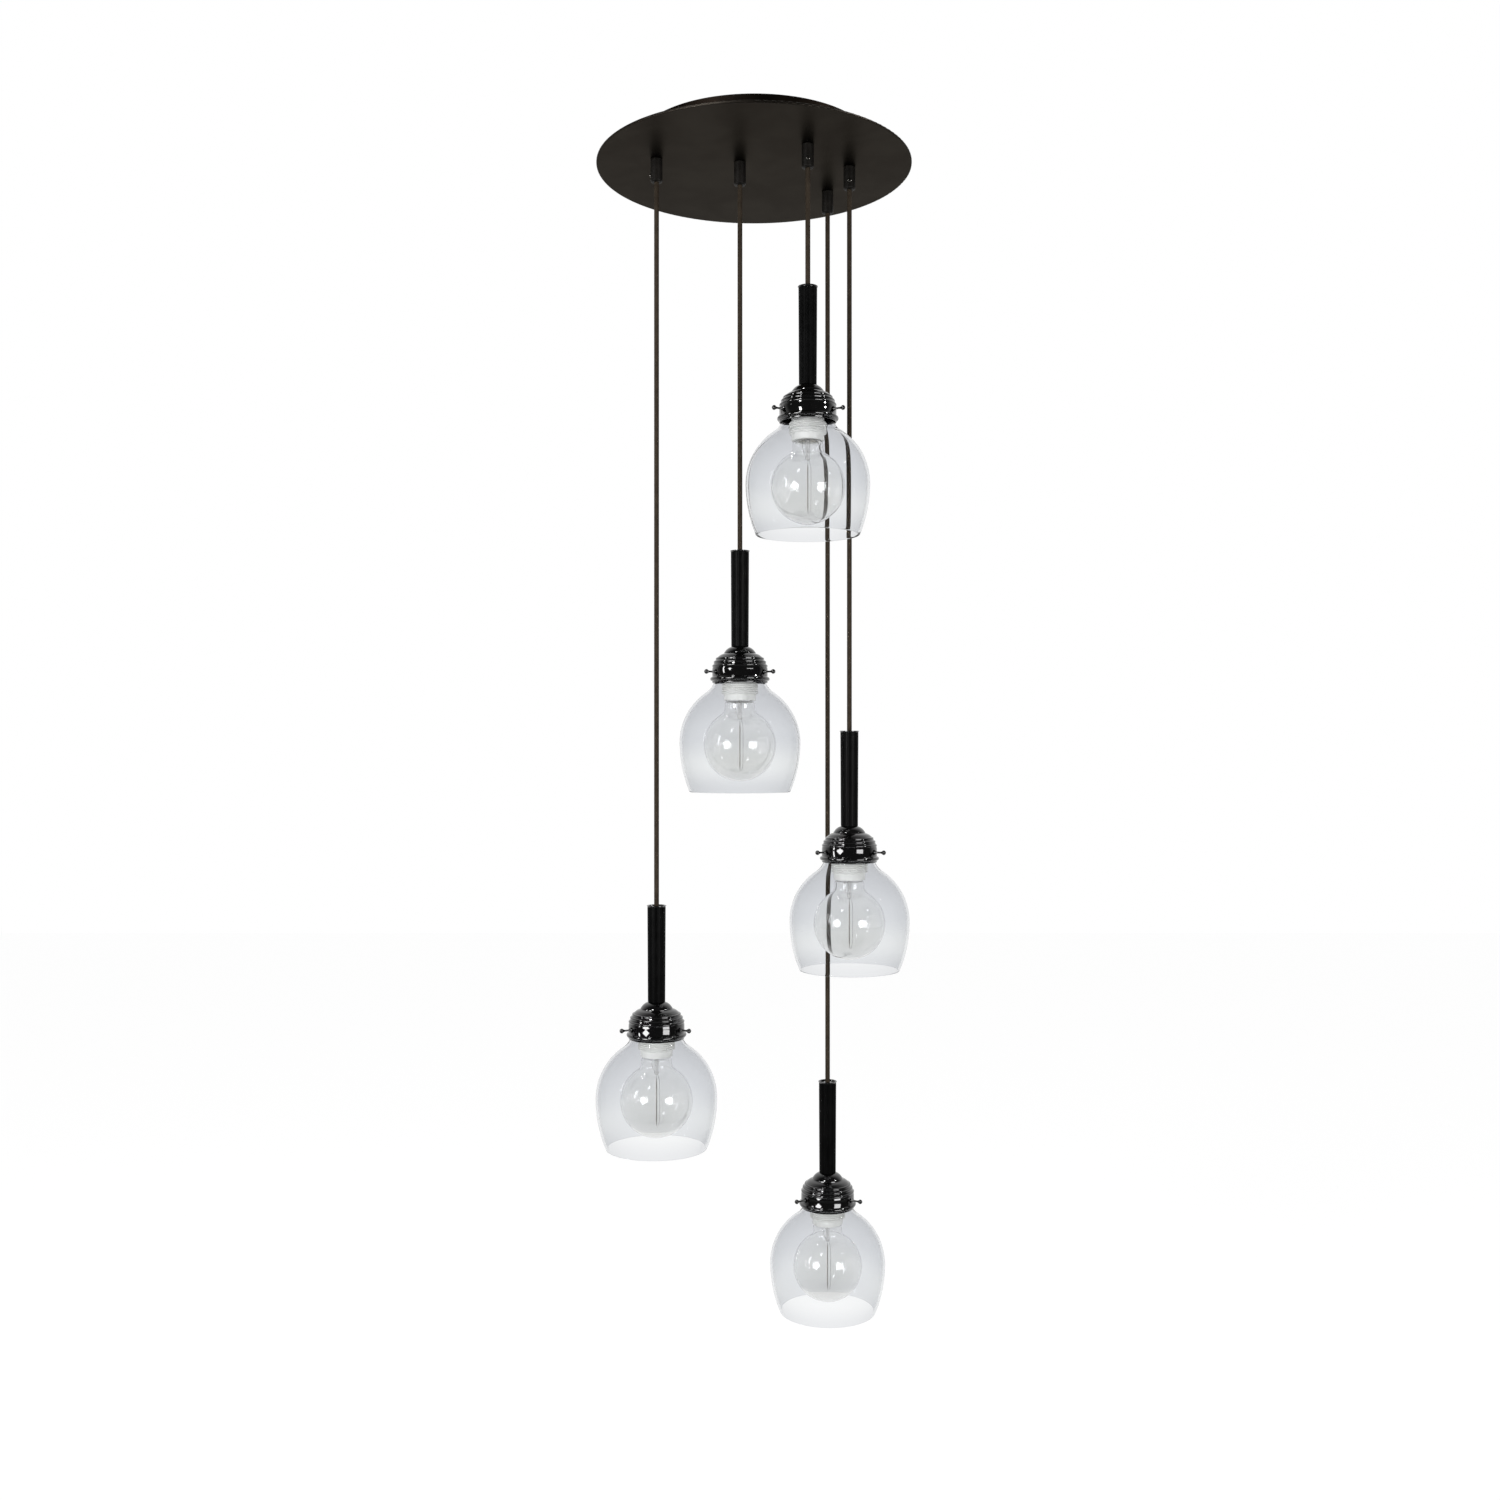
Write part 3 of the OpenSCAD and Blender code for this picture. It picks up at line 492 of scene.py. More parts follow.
def addSlottedScrew(bm, sizes, turn, at):
    # made along Z, then laid along X, turned and placed
    part = bmesh.new()
    shank, head, under, over = sizes["shank"], sizes["head"], sizes["under"], sizes["over"]
    edge = (over - under) * smallScrew["roundShare"]
    line = [(0, sizes["from"]), (shank, sizes["from"]), (shank, under), (head, under)]
    line += arcPoints(head - edge, over - edge, edge, 0, 90, smallScrew["roundSteps"])
    spinOutline(part, line + [(0, over)], smallScrew["steps"], closed=False)
    half = sizes["slot"] / 2
    for side in (-half, half):
        bmesh.ops.bisect_plane(part, geom=part.verts[:] + part.edges[:] + part.faces[:],
                               plane_co=(0, side, 0), plane_no=(0, 1, 0), dist=1e-8)
    middles = [(face, face.calc_center_median()) for face in part.faces]
    strip = [face for face, middle in middles if abs(middle.y) < half and abs(middle.z - over) < near]
    grown = bmesh.ops.extrude_face_region(part, geom=strip)["geom"]
    floor = [item for item in grown if isinstance(item, bmesh.types.BMVert)]
    bmesh.ops.delete(part, geom=[face for face in strip if face.is_valid], context="FACES")
    bmesh.ops.translate(part, verts=floor, vec=(0, 0, (under - over) * smallScrew["slotShare"]))
    bmesh.ops.recalc_face_normals(part, faces=part.faces)
    place = Matrix.Translation(at) @ Matrix.Rotation(math.radians(turn), 4, "Z") @ layDown
    bmesh.ops.transform(part, matrix=place, verts=part.verts)
    mergeInto(bm, part)


def makeSmallScrews():
    bm = bmesh.new()
    for i in pendants:
        at = (*layout["places"][i], layout["gripMouth"] + smallScrew["pinchUp"])
        addSlottedScrew(bm, smallScrew["pinch"], smallScrew["pinchTurns"][i], at)
    placePiece("gripScrews", meshFrom(bm, "gripScrews"), canopyMaterials["screw"], "canopy", "grip_screws")
    bm = bmesh.new()
    for turn in smallScrew["sideTurns"]:
        addSlottedScrew(bm, smallScrew["side"], turn, (0, 0, smallScrew["sideZ"]))
    placePiece("boxScrews", meshFrom(bm, "boxScrews"), canopyMaterials["zinc"], "canopy", "side_screws")


makeGrips()
makeSmallScrews()
print("canopy made")


handleCap = {
    "outline": [(0.00305, -0.0012), (0.0046, -0.0012), (0.0050, -0.0016), (0.0088, -0.0016),
                (0.0094, -0.0002), (0.0098, 0.0), (0.0107, 0.0), (0.0110, -0.0002), (0.0110, -0.0007),
                (0.0107, -0.0010), (0.0104, -0.0014), (0.0103, -0.0018), (0.0068, -0.0018),
                (0.0068, -0.0118), (0.00305, -0.0118)],
    "steps": 96,
}

handle = {
    "top": -0.0018,
    "bottom": -0.109,
    "topRadius": 0.0103,
    "lowRadius": 0.0098,
    "bevel": 0.0004,
    "rings": 6,
    "flutes": 16,
    "cutter": 0.0015,
    "depth": 0.0008,
    "fluteHalf": 7.2,      # degrees from a flute's middle to about its edge
    "fluteShares": (-1, -0.66, -0.33, 0, 0.33, 0.66, 1),
    "finish": {"dark": (0.0008, 0.0008, 0.0008), "light": (0.0024, 0.0024, 0.0024), "rough": (0.32, 0.4),
               "specular": 0.035, "clouds": 70.0, "grain": 1600.0, "relief": 0.0000015},
}


def fluteRadius(angle, radius):
    # where a ray at this angle from a flute's middle meets the cutter or the handle
    centre = radius - handle["depth"] + handle["cutter"]
    miss = centre * math.sin(angle)
    if abs(miss) >= handle["cutter"]:
        return radius
    return min(radius, centre * math.cos(angle) - math.sqrt(handle["cutter"] ** 2 - miss ** 2))


def handleLevels():
    # height and radius of each ring of points, from below
    bottom, lowRadius, bevel = handle["bottom"], handle["lowRadius"], handle["bevel"]
    rise, widening = handle["top"] - bottom, handle["topRadius"] - lowRadius
    levels = [(bottom, lowRadius - bevel), (bottom + bevel, lowRadius)]
    for k in range(1, handle["rings"] + 1):
        levels.append((bottom + rise * k / handle["rings"], lowRadius + widening * k / handle["rings"]))
    return levels


def makeHandleMesh():
    pitch = 2 * math.pi / handle["flutes"]
    half = math.radians(handle["fluteHalf"])
    turns = [half * share for share in handle["fluteShares"]] + [pitch / 2]
    bm = bmesh.new()
    ring = bmesh.ops.create_circle(bm, segments=len(turns) * handle["flutes"], radius=1.0)["verts"]
    ring.sort(key=lambda vert: angleOf(vert) % (2 * math.pi))

    def shape(verts, radius, z):
        for k, vert in enumerate(verts):
            fromFlute = turns[k % len(turns)]
            turn = pitch * (k // len(turns) + 0.5) + fromFlute
            r = fluteRadius(fromFlute, radius)
            vert.co = (r * math.cos(turn), r * math.sin(turn), z)

    levels = handleLevels()
    shape(ring, levels[0][1], levels[0][0])
    lowest = list(bm.edges)
    edges, verts = list(bm.edges), ring
    for z, radius in levels[1:]:
        fresh, edges = growRing(bm, edges)
        fresh.sort(key=lambda vert: angleOf(vert) % (2 * math.pi))
        first = min(range(len(fresh)), key=lambda k: (fresh[k].co.xy - verts[0].co.xy).length)
        verts = fresh[first:] + fresh[:first]
        shape(verts, radius, z)
    bmesh.ops.contextual_create(bm, geom=lowest)
    bmesh.ops.contextual_create(bm, geom=edges)
    bmesh.ops.recalc_face_normals(bm, faces=bm.faces)
    wrapUv(bm)
    return meshFrom(bm, "handle", sharpAngle=28)


# Heights from the gallery's own top, in millimetres as on a drawing
gallery = {
    "outer": [(5.1, 0), (9.6, 0), (10.3, -0.25), (12.6, -1.2), (14.6, -2.6), (16.2, -4.2), (17.2, -5.6),
              (17.8, -6.4), (18.0, -7.0), (18.1, -7.5), (18.9, -8.0), (20.4, -8.5), (22.0, -9.2),
              (23.5, -10.2), (24.6, -11.2)],
    "dome": [(25.2, -11.6), (27.8, -15.2), (29.8, -19.2), (30.9, -22.6), (31.4, -25.0)],
    "domeParts": 4,        # between two of these points
    "domeSteps": 60,
    "ridges": [(0.06, 0.24), (0.36, 0.54), (0.68, 0.86)],    # from and to, as shares of the dome's length
    "ridgeOut": 0.85,
    "ridgePower": 0.7,
    "band": [(31.5, -26.0), (31.5, -33.9)],
    "lipCentre": (31.5, -36.6),
    "lipRadius": 2.3,
    "lipTurn": 82,
    "lipSteps": 12,
    "low": [(31.5, -39.3), (31.5, -40.6), (31.1, -41.0)],
    "wall": 1.0,
    "lowWall": 0.5,
    "innerBand": (-40.4, -26.4),
    "innerDome": (0.95, 0.75, 0.5, 0.25, 0.0),
    "innerTop": [(22.0, -10.4), (17.2, -8.2), (16.6, -6.6), (13.6, -3.2), (10.0, -1.3), (5.1, -1.0)],
    "perMetre": 1000,
    "steps": 144,
    "finish": {"dark": (0.0008, 0.0008, 0.0008), "light": (0.0016, 0.0016, 0.0016), "rough": (0.05, 0.08),
               "specular": 0.7, "clouds": 60.0, "grain": 500.0, "relief": 0.0000004},
}


def alongLine(line, share):
    # the point at this share of a line's length, and the line's direction there
    lengths = [math.dist(a, b) for a, b in zip(line, line[1:])]
    left = share * sum(lengths)
    for (a, b), length in zip(zip(line, line[1:]), lengths):
        if left <= length:
            break
        left -= length
    way = ((b[0] - a[0]) / length, (b[1] - a[1]) / length)
    return (a[0] + way[0] * left, a[1] + way[1] * left), way


def smoothLine(line, parts):
    # a soft curve through the points, a few steps between each pair

    def between(a, b, c, d, t):
        return 0.5 * (2 * b + (c - a) * t + (2 * a - 5 * b + 4 * c - d) * t * t
                      + (3 * b - a - 3 * c + d) * t ** 3)

    soft = []
    for k in range(len(line) - 1):
        four = line[max(k - 1, 0)], line[k], line[k + 1], line[min(k + 2, len(line) - 1)]
        for n in range(parts):
            soft.append(tuple(between(*along, n / parts) for along in zip(*four)))
    return soft + [line[-1]]


def ridgeHeight(share):
    for low, high in gallery["ridges"]:
        if low < share < high:
            turn = math.pi * (share - low) / (high - low)
            return gallery["ridgeOut"] * math.sin(turn) ** gallery["ridgePower"]
    return 0


def galleryOutline():
    dome = smoothLine(gallery["dome"], gallery["domeParts"])
    line = list(gallery["outer"])
    for k in range(gallery["domeSteps"] + 1):
        share = k / gallery["domeSteps"]
        (x, z), way = alongLine(dome, share)
        out = ridgeHeight(share)
        line.append((x - way[1] * out, z + way[0] * out))
    line += gallery["band"]
    turn = gallery["lipTurn"]
    line += arcPoints(*gallery["lipCentre"], gallery["lipRadius"], turn, -turn, gallery["lipSteps"])
    line += gallery["low"]
    wall, bandRadius = gallery["wall"], gallery["band"][0][0]
    lowRadius, lowZ = gallery["low"][-1]
    line.append((lowRadius - gallery["lowWall"], lowZ))
    line += [(bandRadius - wall, z) for z in gallery["innerBand"]]
    for share in gallery["innerDome"]:
        (x, z), way = alongLine(dome, share)
        line.append((x + way[1] * wall, z - way[0] * wall))
    line += gallery["innerTop"]
    return [(x / gallery["perMetre"], z / gallery["perMetre"]) for x, z in line]


thumbScrew = {
    "count": 3,
    "firstTurn": 90,
    "z": -0.138,
    "outline": [(0, 0.02815), (0.0008, 0.02815), (0.0012, 0.0286), (0.0012, 0.0315), (0.0026, 0.0316),
                (0.0028, 0.0319), (0.0028, 0.0326), (0.0024, 0.0330), (0.0013, 0.0331), (0.0011, 0.0345),
                (0.0010, 0.0385), (0.0011, 0.0399), (0.0015, 0.0410), (0.0021, 0.0418), (0.0026, 0.0425),
                (0.00265, 0.0432), (0.00255, 0.0440), (0.0021, 0.0447), (0.0014, 0.0453), (0.0006, 0.0455),
                (0, 0.0455)],
    "knurlFrom": 0.0424,
    "knurlTo": 0.0442,
    "knurlShrink": 0.94,
    "steps": 40,
}


def makeThumbScrewMesh():
    bm = bmesh.new()
    for k in range(thumbScrew["count"]):
        part = bmesh.new()
        spinOutline(part, thumbScrew["outline"], thumbScrew["steps"], closed=False)
        for vert in part.verts:    # every second line of points on the head's edge sits a little lower
            line = round(angleOf(vert) / (2 * math.pi) * thumbScrew["steps"])
            if thumbScrew["knurlFrom"] < vert.co.z < thumbScrew["knurlTo"] and line % 2:
                vert.co.x *= thumbScrew["knurlShrink"]
                vert.co.y *= thumbScrew["knurlShrink"]
        turn = math.radians(thumbScrew["firstTurn"] + 360 * k / thumbScrew["count"])
        place = Matrix.Translation((0, 0, thumbScrew["z"])) @ Matrix.Rotation(turn, 4, "Z") @ layDown
        bmesh.ops.transform(part, matrix=place, verts=part.verts)
        mergeInto(bm, part)
    wrapUv(bm)
    return meshFrom(bm, "thumbScrews", sharpAngle=30)


shade = {
    "lipTop": -0.1324,
    "lipLow": -0.1364,
    "lipRadius": 0.029,
    "lipEdge": 0.0012,     # rounding of the lip's outer edge
    "lipBevel": 0.0006,
    "lipFoot": 0.0008,
    "neck": 0.028,
    "flare": 0.022,
    "belly": 0.0685,
    "bellyZ": -0.2175,
    "rim": 0.0575,
    "rimZ": -0.274,
    "wall": 0.0025,
    "arcSteps": {"lip": 5, "flare": 10, "belly": 21, "wall": 13, "rim": 8},
    "steps": 160,
    "finish": {
        "ior": 1.09, "heights": (-0.274, -0.150),
        # lighter low down and darker towards the top: painted shade and painted reflection over the glass's
        # own grey tint
        "tintsWithPaintedShade": [(0.0, (0.84, 0.85, 0.865)), (0.25, (0.925, 0.935, 0.94)), (0.52, (0.845, 0.857, 0.875)),
                  (0.85, (0.80, 0.81, 0.83)), (1.0, (0.775, 0.785, 0.80))],
        # the grey outline colour darkens the glass's edges: painted shade
        "outline": (0.36, 0.37, 0.38), "paintedEdgeBlend": 0.1, "paintedEdgeWeight": 1.0,
        "ripple": 22.0, "relief": 0.00006, "letThrough": 0.9,
    },
}


def shadeSide(inside):
    # flare, belly and wall in three arcs, each starting a step past the last one's end
    belly, bellyZ, flare, steps = shade["belly"], shade["bellyZ"], shade["flare"], shade["arcSteps"]
    flareX = shade["neck"] + flare
    reach = belly + flare
    touch = math.acos(flareX / reach)
    flareZ = bellyZ + reach * math.sin(touch)
    touch = math.degrees(touch)
    rise = bellyZ - shade["rimZ"] - shade["wall"] / 2
    narrow = belly - shade["rim"]
    wallRadius = (rise ** 2 + narrow ** 2) / 2 / narrow
    wallTurn = math.degrees(math.asin(rise / wallRadius))
    bellyFrom = touch * steps["belly"] / (steps["belly"] + 1)
    wallFrom = -wallTurn / (steps["wall"] + 1)
    line = arcPoints(flareX, flareZ, flare + inside, 180, 180 + touch, steps["flare"])
    line += arcPoints(0, bellyZ, belly - inside, bellyFrom, 0, steps["belly"])
    line += arcPoints(belly - wallRadius, bellyZ, wallRadius - inside, wallFrom, -wallTurn, steps["wall"])
    return line


def shadeOutline():
    outer, inner = shadeSide(0), shadeSide(shade["wall"])
    (outerX, outerZ), (innerX, innerZ) = outer[-1], inner[-1]
    steps = shade["arcSteps"]
    lean = math.degrees(math.atan2(outerZ - innerZ, outerX - innerX))
    rim = arcPoints((outerX + innerX) / 2, (outerZ + innerZ) / 2, shade["wall"] / 2, lean, lean - 180,
                    steps["rim"])[1:-1]
    top, low, lip = shade["lipTop"], shade["lipLow"], shade["lipRadius"]
    edge, bevel, inside = shade["lipEdge"], shade["lipBevel"], shade["neck"] - shade["wall"]
    line = [(inside, top - bevel), (inside + bevel, top)]
    line += arcPoints(lip - edge, top - edge, edge, 90, 0, steps["lip"])
    line += [(lip, low + shade["lipFoot"]), (shade["neck"], low)]
    return line + outer + rim + inner[::-1]


holder = {
    "outline": [(0.0035, -0.1020), (0.0046, -0.1020), (0.0050, -0.1024), (0.0050, -0.1100),
                (0.0080, -0.1100), (0.0080, -0.1203), (0.0140, -0.1203), (0.0160, -0.1208),
                (0.0175, -0.1225), (0.0180, -0.1243), (0.0180, -0.1505), (0.0198, -0.1508)],
    "ribs": {"top": -0.1515, "bottom": -0.1625, "crest": 0.02075, "root": 0.0196, "count": 5,
             "steps": 6, "share": 0.42},
    "lower": [(0.0184, -0.1632), (0.0180, -0.1640), (0.0180, -0.1693), (0.0174, -0.1701),
              (0.0166, -0.1703), (0.0150, -0.1703), (0.01365, -0.1700), (0.01365, -0.1373), (0.0, -0.1373)],
    "chamber": [(0.0, -0.1343), (0.012, -0.1343), (0.012, -0.1243), (0.0035, -0.1243)],
    "steps": 112,
    "finish": {"dark": (0.6, 0.605, 0.585), "light": (0.7, 0.705, 0.685), "rough": (0.45, 0.55),
               "specular": 0.15, "clouds": 60.0, "grain": 900.0, "relief": 0.0000015, "rings": 0.0006},
}


def holderRibs():
    ribs = holder["ribs"]
    top, root = ribs["top"], ribs["root"]
    pitch, out = (top - ribs["bottom"]) / ribs["count"], ribs["crest"] - root
    line = []
    for k in range(ribs["count"]):
        middle = top - pitch * (k + 0.5)
        for n in range(ribs["steps"] + 1):
            a = math.radians(90 - 180 * n / ribs["steps"])
            line.append((root + out * math.cos(a), middle + pitch * ribs["share"] * math.sin(a)))
    return line


bulb = {
    "globe": 0.041,
    "centre": -0.2205,
    "neck": 0.0173,
    "neckTop": -0.1707,
    "fillet": 0.009,       # between neck and globe
    "shoulder": 0.003,     # rounding of the neck's upper end
    "shoulderDrop": 0.0034,
    "shoulderFrom": 82,
    "collarOut": 0.0012,
    "collarDrop": 0.0002,
    "capRadius": 0.0126,
    "capTop": -0.1465,
    "capLow": -0.1690,
    "capBevel": 0.002,
    "globeParts": 24,      # the globe's arc starts one such part past the fillet's end
    "arcSteps": {"shoulder": 6, "fillet": 8, "globe": 40},
    "wall": 0.0009,
    "steps": 112,
    "finish": {
        "ior": 1.4, "shine": 1.0, "heights": (-0.262, -0.170),
        # darker towards the globe's bottom: painted shade over the glass's own tint
        "tintsWithPaintedShade": [(0.0, (0.83, 0.83, 0.82)), (0.25, (0.855, 0.855, 0.845)), (0.48, (0.905, 0.905, 0.895)),
                  (0.75, (0.95, 0.95, 0.94)), (1.0, (0.965, 0.965, 0.96))],
        # the white outline colour lightens the globe's edges: painted highlight
        "outline": (1.0, 1.0, 1.0), "paintedEdgeBlend": 0.4, "paintedEdgeWeight": 1.0,
        "ripple": 40.0, "relief": 0.000008, "letThrough": 0.92,
    },
}


def bulbSide(inside):
    globe, neck, fillet, shoulder = bulb["globe"], bulb["neck"], bulb["fillet"], bulb["shoulder"]
    cap, capTop, neckTop, bevel = bulb["capRadius"], bulb["capTop"], bulb["neckTop"], bulb["capBevel"]
    centre, steps, parts = bulb["centre"], bulb["arcSteps"], bulb["globeParts"]
    filletZ = centre + math.sqrt((globe + fillet) ** 2 - (neck + fillet) ** 2)
    touch = math.degrees(math.acos((neck + fillet) / (globe + fillet)))
    line = [(0, capTop - inside), (cap - bevel - inside, capTop - inside),
            (cap - inside, capTop - bevel - inside), (cap - inside, bulb["capLow"]),
            (cap + bulb["collarOut"] - inside, neckTop - bulb["collarDrop"] - inside / 2)]
    line += arcPoints(neck - shoulder, neckTop - bulb["shoulderDrop"], shoulder - inside,
                      bulb["shoulderFrom"], 0, steps["shoulder"])
    line += arcPoints(neck + fillet, filletZ, fillet + inside, 180, 180 + touch, steps["fillet"])
    line += arcPoints(0, centre, globe - inside, touch * (parts - 1) / parts, -90, steps["globe"])[:-1]
    line.append((0, centre - globe + inside))
    return line


def makeBulbMesh():
    bm = bmesh.new()
    spinOutline(bm, bulbSide(0), bulb["steps"], closed=False)
    part = bmesh.new()
    hollow = spinOutline(part, bulbSide(bulb["wall"]), bulb["steps"], closed=False)
    bmesh.ops.reverse_faces(part, faces=hollow)    # the hollow's faces look inwards
    mergeInto(bm, part)
    wrapUv(bm)
    return meshFrom(bm, "bulbGlass", sharpAngle=50)


bulbInside = {
    "stem": [(0, -0.1492), (0.0090, -0.1492), (0.0093, -0.1500), (0.0088, -0.1525), (0.0066, -0.1575),
             (0.0042, -0.1640), (0.0030, -0.1700), (0.0024, -0.1760), (0.0022, -0.1830), (0.0022, -0.1875),
             (0.0026, -0.1890), (0.0026, -0.1902), (0.0018, -0.1915), (0, -0.1915)],
    "stemSteps": 40,
    "filament": [(0, -0.1955), (0.00035, -0.1955), (0.0004, -0.1985), (0.0006, -0.1990), (0.0006, -0.2440),
                 (0.0004, -0.2445), (0.00035, -0.2475), (0, -0.2475)],
    "filamentSteps": 16,
    "wireRadius": 0.00022,
    "wireRounding": 2,
    "wires": [
        [(0.0, 0.0, -0.1905), (0.0, 0.0, -0.1960)],
        [(0.0012, 0.0, -0.1900), (0.0034, 0.0, -0.1985), (0.0036, 0.0, -0.2200), (0.0034, 0.0, -0.2440),
         (0.0020, 0.0, -0.2485), (0.0, 0.0, -0.2492), (0.0, 0.0, -0.2470)],
        [(-0.0012, 0.0, -0.1900), (-0.0044, 0.0, -0.1840), (-0.0060, 0.0, -0.1760),
         (-0.0052, 0.0, -0.1690)],
        [(0.0, 0.0012, -0.1900), (0.0, 0.0044, -0.1850), (0.0, 0.0060, -0.1775), (0.0, 0.0052, -0.1700)],
    ],
    "glass": {"dark": (0.5, 0.5, 0.49), "light": (0.62, 0.62, 0.61), "rough": (0.4, 0.5), "specular": 0.1,
              "alpha": 0.35, "clouds": 300.0, "grain": 3000.0, "relief": 0.000002},
    "coating": {"dark": (0.13, 0.12, 0.105), "light": (0.2, 0.185, 0.16), "rough": (0.4, 0.5),
                "clouds": 300.0, "grain": 3000.0, "relief": 0.00001},
    "wire": {"dark": (0.16, 0.155, 0.15), "light": (0.24, 0.235, 0.23), "rough": (0.5, 0.6), "metal": 0.3,
             "clouds": 300.0, "grain": 3000.0, "relief": 0.000002},
    "screwCap": {"dark": (0.55, 0.52, 0.45), "light": (0.66, 0.63, 0.56), "rough": (0.42, 0.55),
                 "metal": 0.6, "clouds": 80.0, "grain": 1800.0, "relief": 0.00001},
}


def makeWireMesh():
    # each wire is a thin bevelled curve, turned into a mesh
    bm = bmesh.new()
    for route in bulbInside["wires"]:
        curve = bpy.data.curves.new("wire", "CURVE")
        curve.dimensions = "3D"
        curve.bevel_depth = bulbInside["wireRadius"]
        curve.bevel_resolution = bulbInside["wireRounding"]
        curve.use_fill_caps = True
        spline = curve.splines.new("POLY")
        spline.points.add(len(route) - 1)
        for point, place in zip(spline.points, route):
            point.co = (*place, 1)
        bent = bpy.data.objects.new("wire", curve)
        bm.from_mesh(bpy.data.meshes.new_from_object(bent))
        bpy.data.objects.remove(bent)
        bpy.data.curves.remove(curve)
    bmesh.ops.remove_doubles(bm, verts=bm.verts, dist=sameSpot)
    wrapUv(bm)
    return meshFrom(bm, "bulbWires", sharpAngle=50)


def makePendantMeshes():
    holderLine = holder["outline"] + holderRibs() + holder["lower"] + holder["chamber"]
    stem, filament = bulbInside["stem"], bulbInside["filament"]
    return {
        "handleCap": spunMesh("handleCap", handleCap["outline"], handleCap["steps"], sharpAngle=40),
        "handle": makeHandleMesh(),
        "gallery": spunMesh("gallery", galleryOutline(), gallery["steps"], sharpAngle=40),
        "thumbScrews": makeThumbScrewMesh(),
        "shade": spunMesh("shade", shadeOutline(), shade["steps"], sharpAngle=60),
        "holder": spunMesh("lampHolder", holderLine, holder["steps"], sharpAngle=40),
        "bulb": makeBulbMesh(),
        "stem": spunMesh("bulbStem", stem, bulbInside["stemSteps"], sharpAngle=50, closed=False),
        "filament": spunMesh("bulbFilament", filament, bulbInside["filamentSteps"], sharpAngle=50,
                             closed=False),
        "wires": makeWireMesh(),
    }


enamel = solidFinish("blackEnamel", gallery["finish"])
lacquer = solidFinish("blackLacquer", handle["finish"])
shadeGlass = glassFinish("shadeGlass", shade["finish"])
bulbGlass = glassFinish("bulbGlass", bulb["finish"])
stemGlass = solidFinish("stemGlass", bulbInside["glass"])
holderMetal = solidFinish("holderMetal", holder["finish"])
capMetal = solidFinish("capMetal", bulbInside["screwCap"])
coating = solidFinish("filamentCoating", bulbInside["coating"])
wireMetal = solidFinish("wireMetal", bulbInside["wire"])

# piece, its mesh, how far the mesh's own zero is above the pendant's, material, CAD piece and slot
pendantPieces = [
    ("handleCap", "handleCap", 0, enamel, "handle_cap", "black_enamel"),
    ("flutedHandle", "handle", 0, lacquer, "handle", "black_satin"),
    ("spunGallery", "gallery", layout["gallery"], enamel, "gallery", "black_enamel"),
    ("thumbScrews", "thumbScrews", 0, enamel, "thumb_screws", "black_screw"),
    ("glassShade", "shade", 0, shadeGlass, "shade", "clear_glass"),
    ("lampHolder", "holder", 0, holderMetal, "lamp_holder", "holder_metal"),
    ("bulbGlass", "bulb", 0, bulbGlass, "bulb_glass", "lamp_glass"),
    ("bulbStem", "stem", 0, stemGlass, "bulb_filament", "filament"),
    ("bulbFilament", "filament", 0, coating, "bulb_filament", "filament"),
    ("bulbWires", "wires", 0, wireMetal, "bulb_filament", "filament"),
]
pendantMeshes = makePendantMeshes()
for i in pendants:
    for name, key, up, material, node, slot in pendantPieces:
        mesh = pendantMeshes[key].copy()
        at = zeroOf(i) + Vector((0, 0, up))
        placePiece(f"{name}_{i}", mesh, material, f"pendant_{i}", f"{node}_{i}", at)
    dressNode(f"bulb_cap_{i}", capMetal)
for mesh in pendantMeshes.values():
    bpy.data.meshes.remove(mesh)
print("pendants made")


studio = {
    "floorZ": -1.75,
    "floorSize": 14.0,
    "floorParts": 4,
    "floorColour": (0.8, 0.8, 0.8),
    "floorDark": 0.99,     # of its colour, where its faint grain is darkest
    "floorRough": 0.9,
    "floorShine": 0.1,
    "floorSeen": (0.1, 0.1, 0.1),   # the white that is seen comes from the glow, and this keeps the shadow
    "floorGlow": 0.94,
    "ambient": 0.28,
    "dimFront": 0.06,      # how bright the room is where it is mirrored in front of the object
    "dimDepth": (0.0, 0.6),
    # name, degrees round from the front and up, width and height, roll in degrees, power in watts
    "lamps": [
        ("keyLamp", -42, 4, (1.15, 1.15), 45, 70),
        ("fillLamp", 42, 2, (1.55, 1.15), 0, 62),
        ("leftLamp", -72, 14, (0.3, 1.2), 0, 20),
        ("sparkLamp", 76, 34, (0.24, 0.24), 0, 20),
        ("topLamp", -34, 46, (0.35, 0.7), 0, 36),
    ],
    "lampDistance": 3.2,
    "aim": (0.0, 0.0, -0.75),
}


def seenWhite(tree, place):
    # white to the camera and through glass; where it is mirrored straight, white behind the object
    # and dim before it
    front, back = studio["dimDepth"]
    path = addNode(tree, "ShaderNodeLightPath")
    depth = addNode(tree, "ShaderNodeSeparateXYZ", {0: place}).outputs["Y"]
    mirrored = addNode(tree, "ShaderNodeMapRange", {
        "Value": depth, "From Min": front, "From Max": back, "To Min": studio["dimFront"], "To Max": 1.0})
    share = maths(tree, "MAXIMUM", mirrored.outputs[0], path.outputs["Transmission Depth"])
    gloss = maths(tree, "MULTIPLY", path.outputs["Is Glossy Ray"], maths(tree, "MINIMUM", share, 1.0))
    straight = maths(tree, "MAXIMUM", path.outputs["Is Camera Ray"], path.outputs["Is Transmission Ray"])
    return maths(tree, "MAXIMUM", straight, gloss)


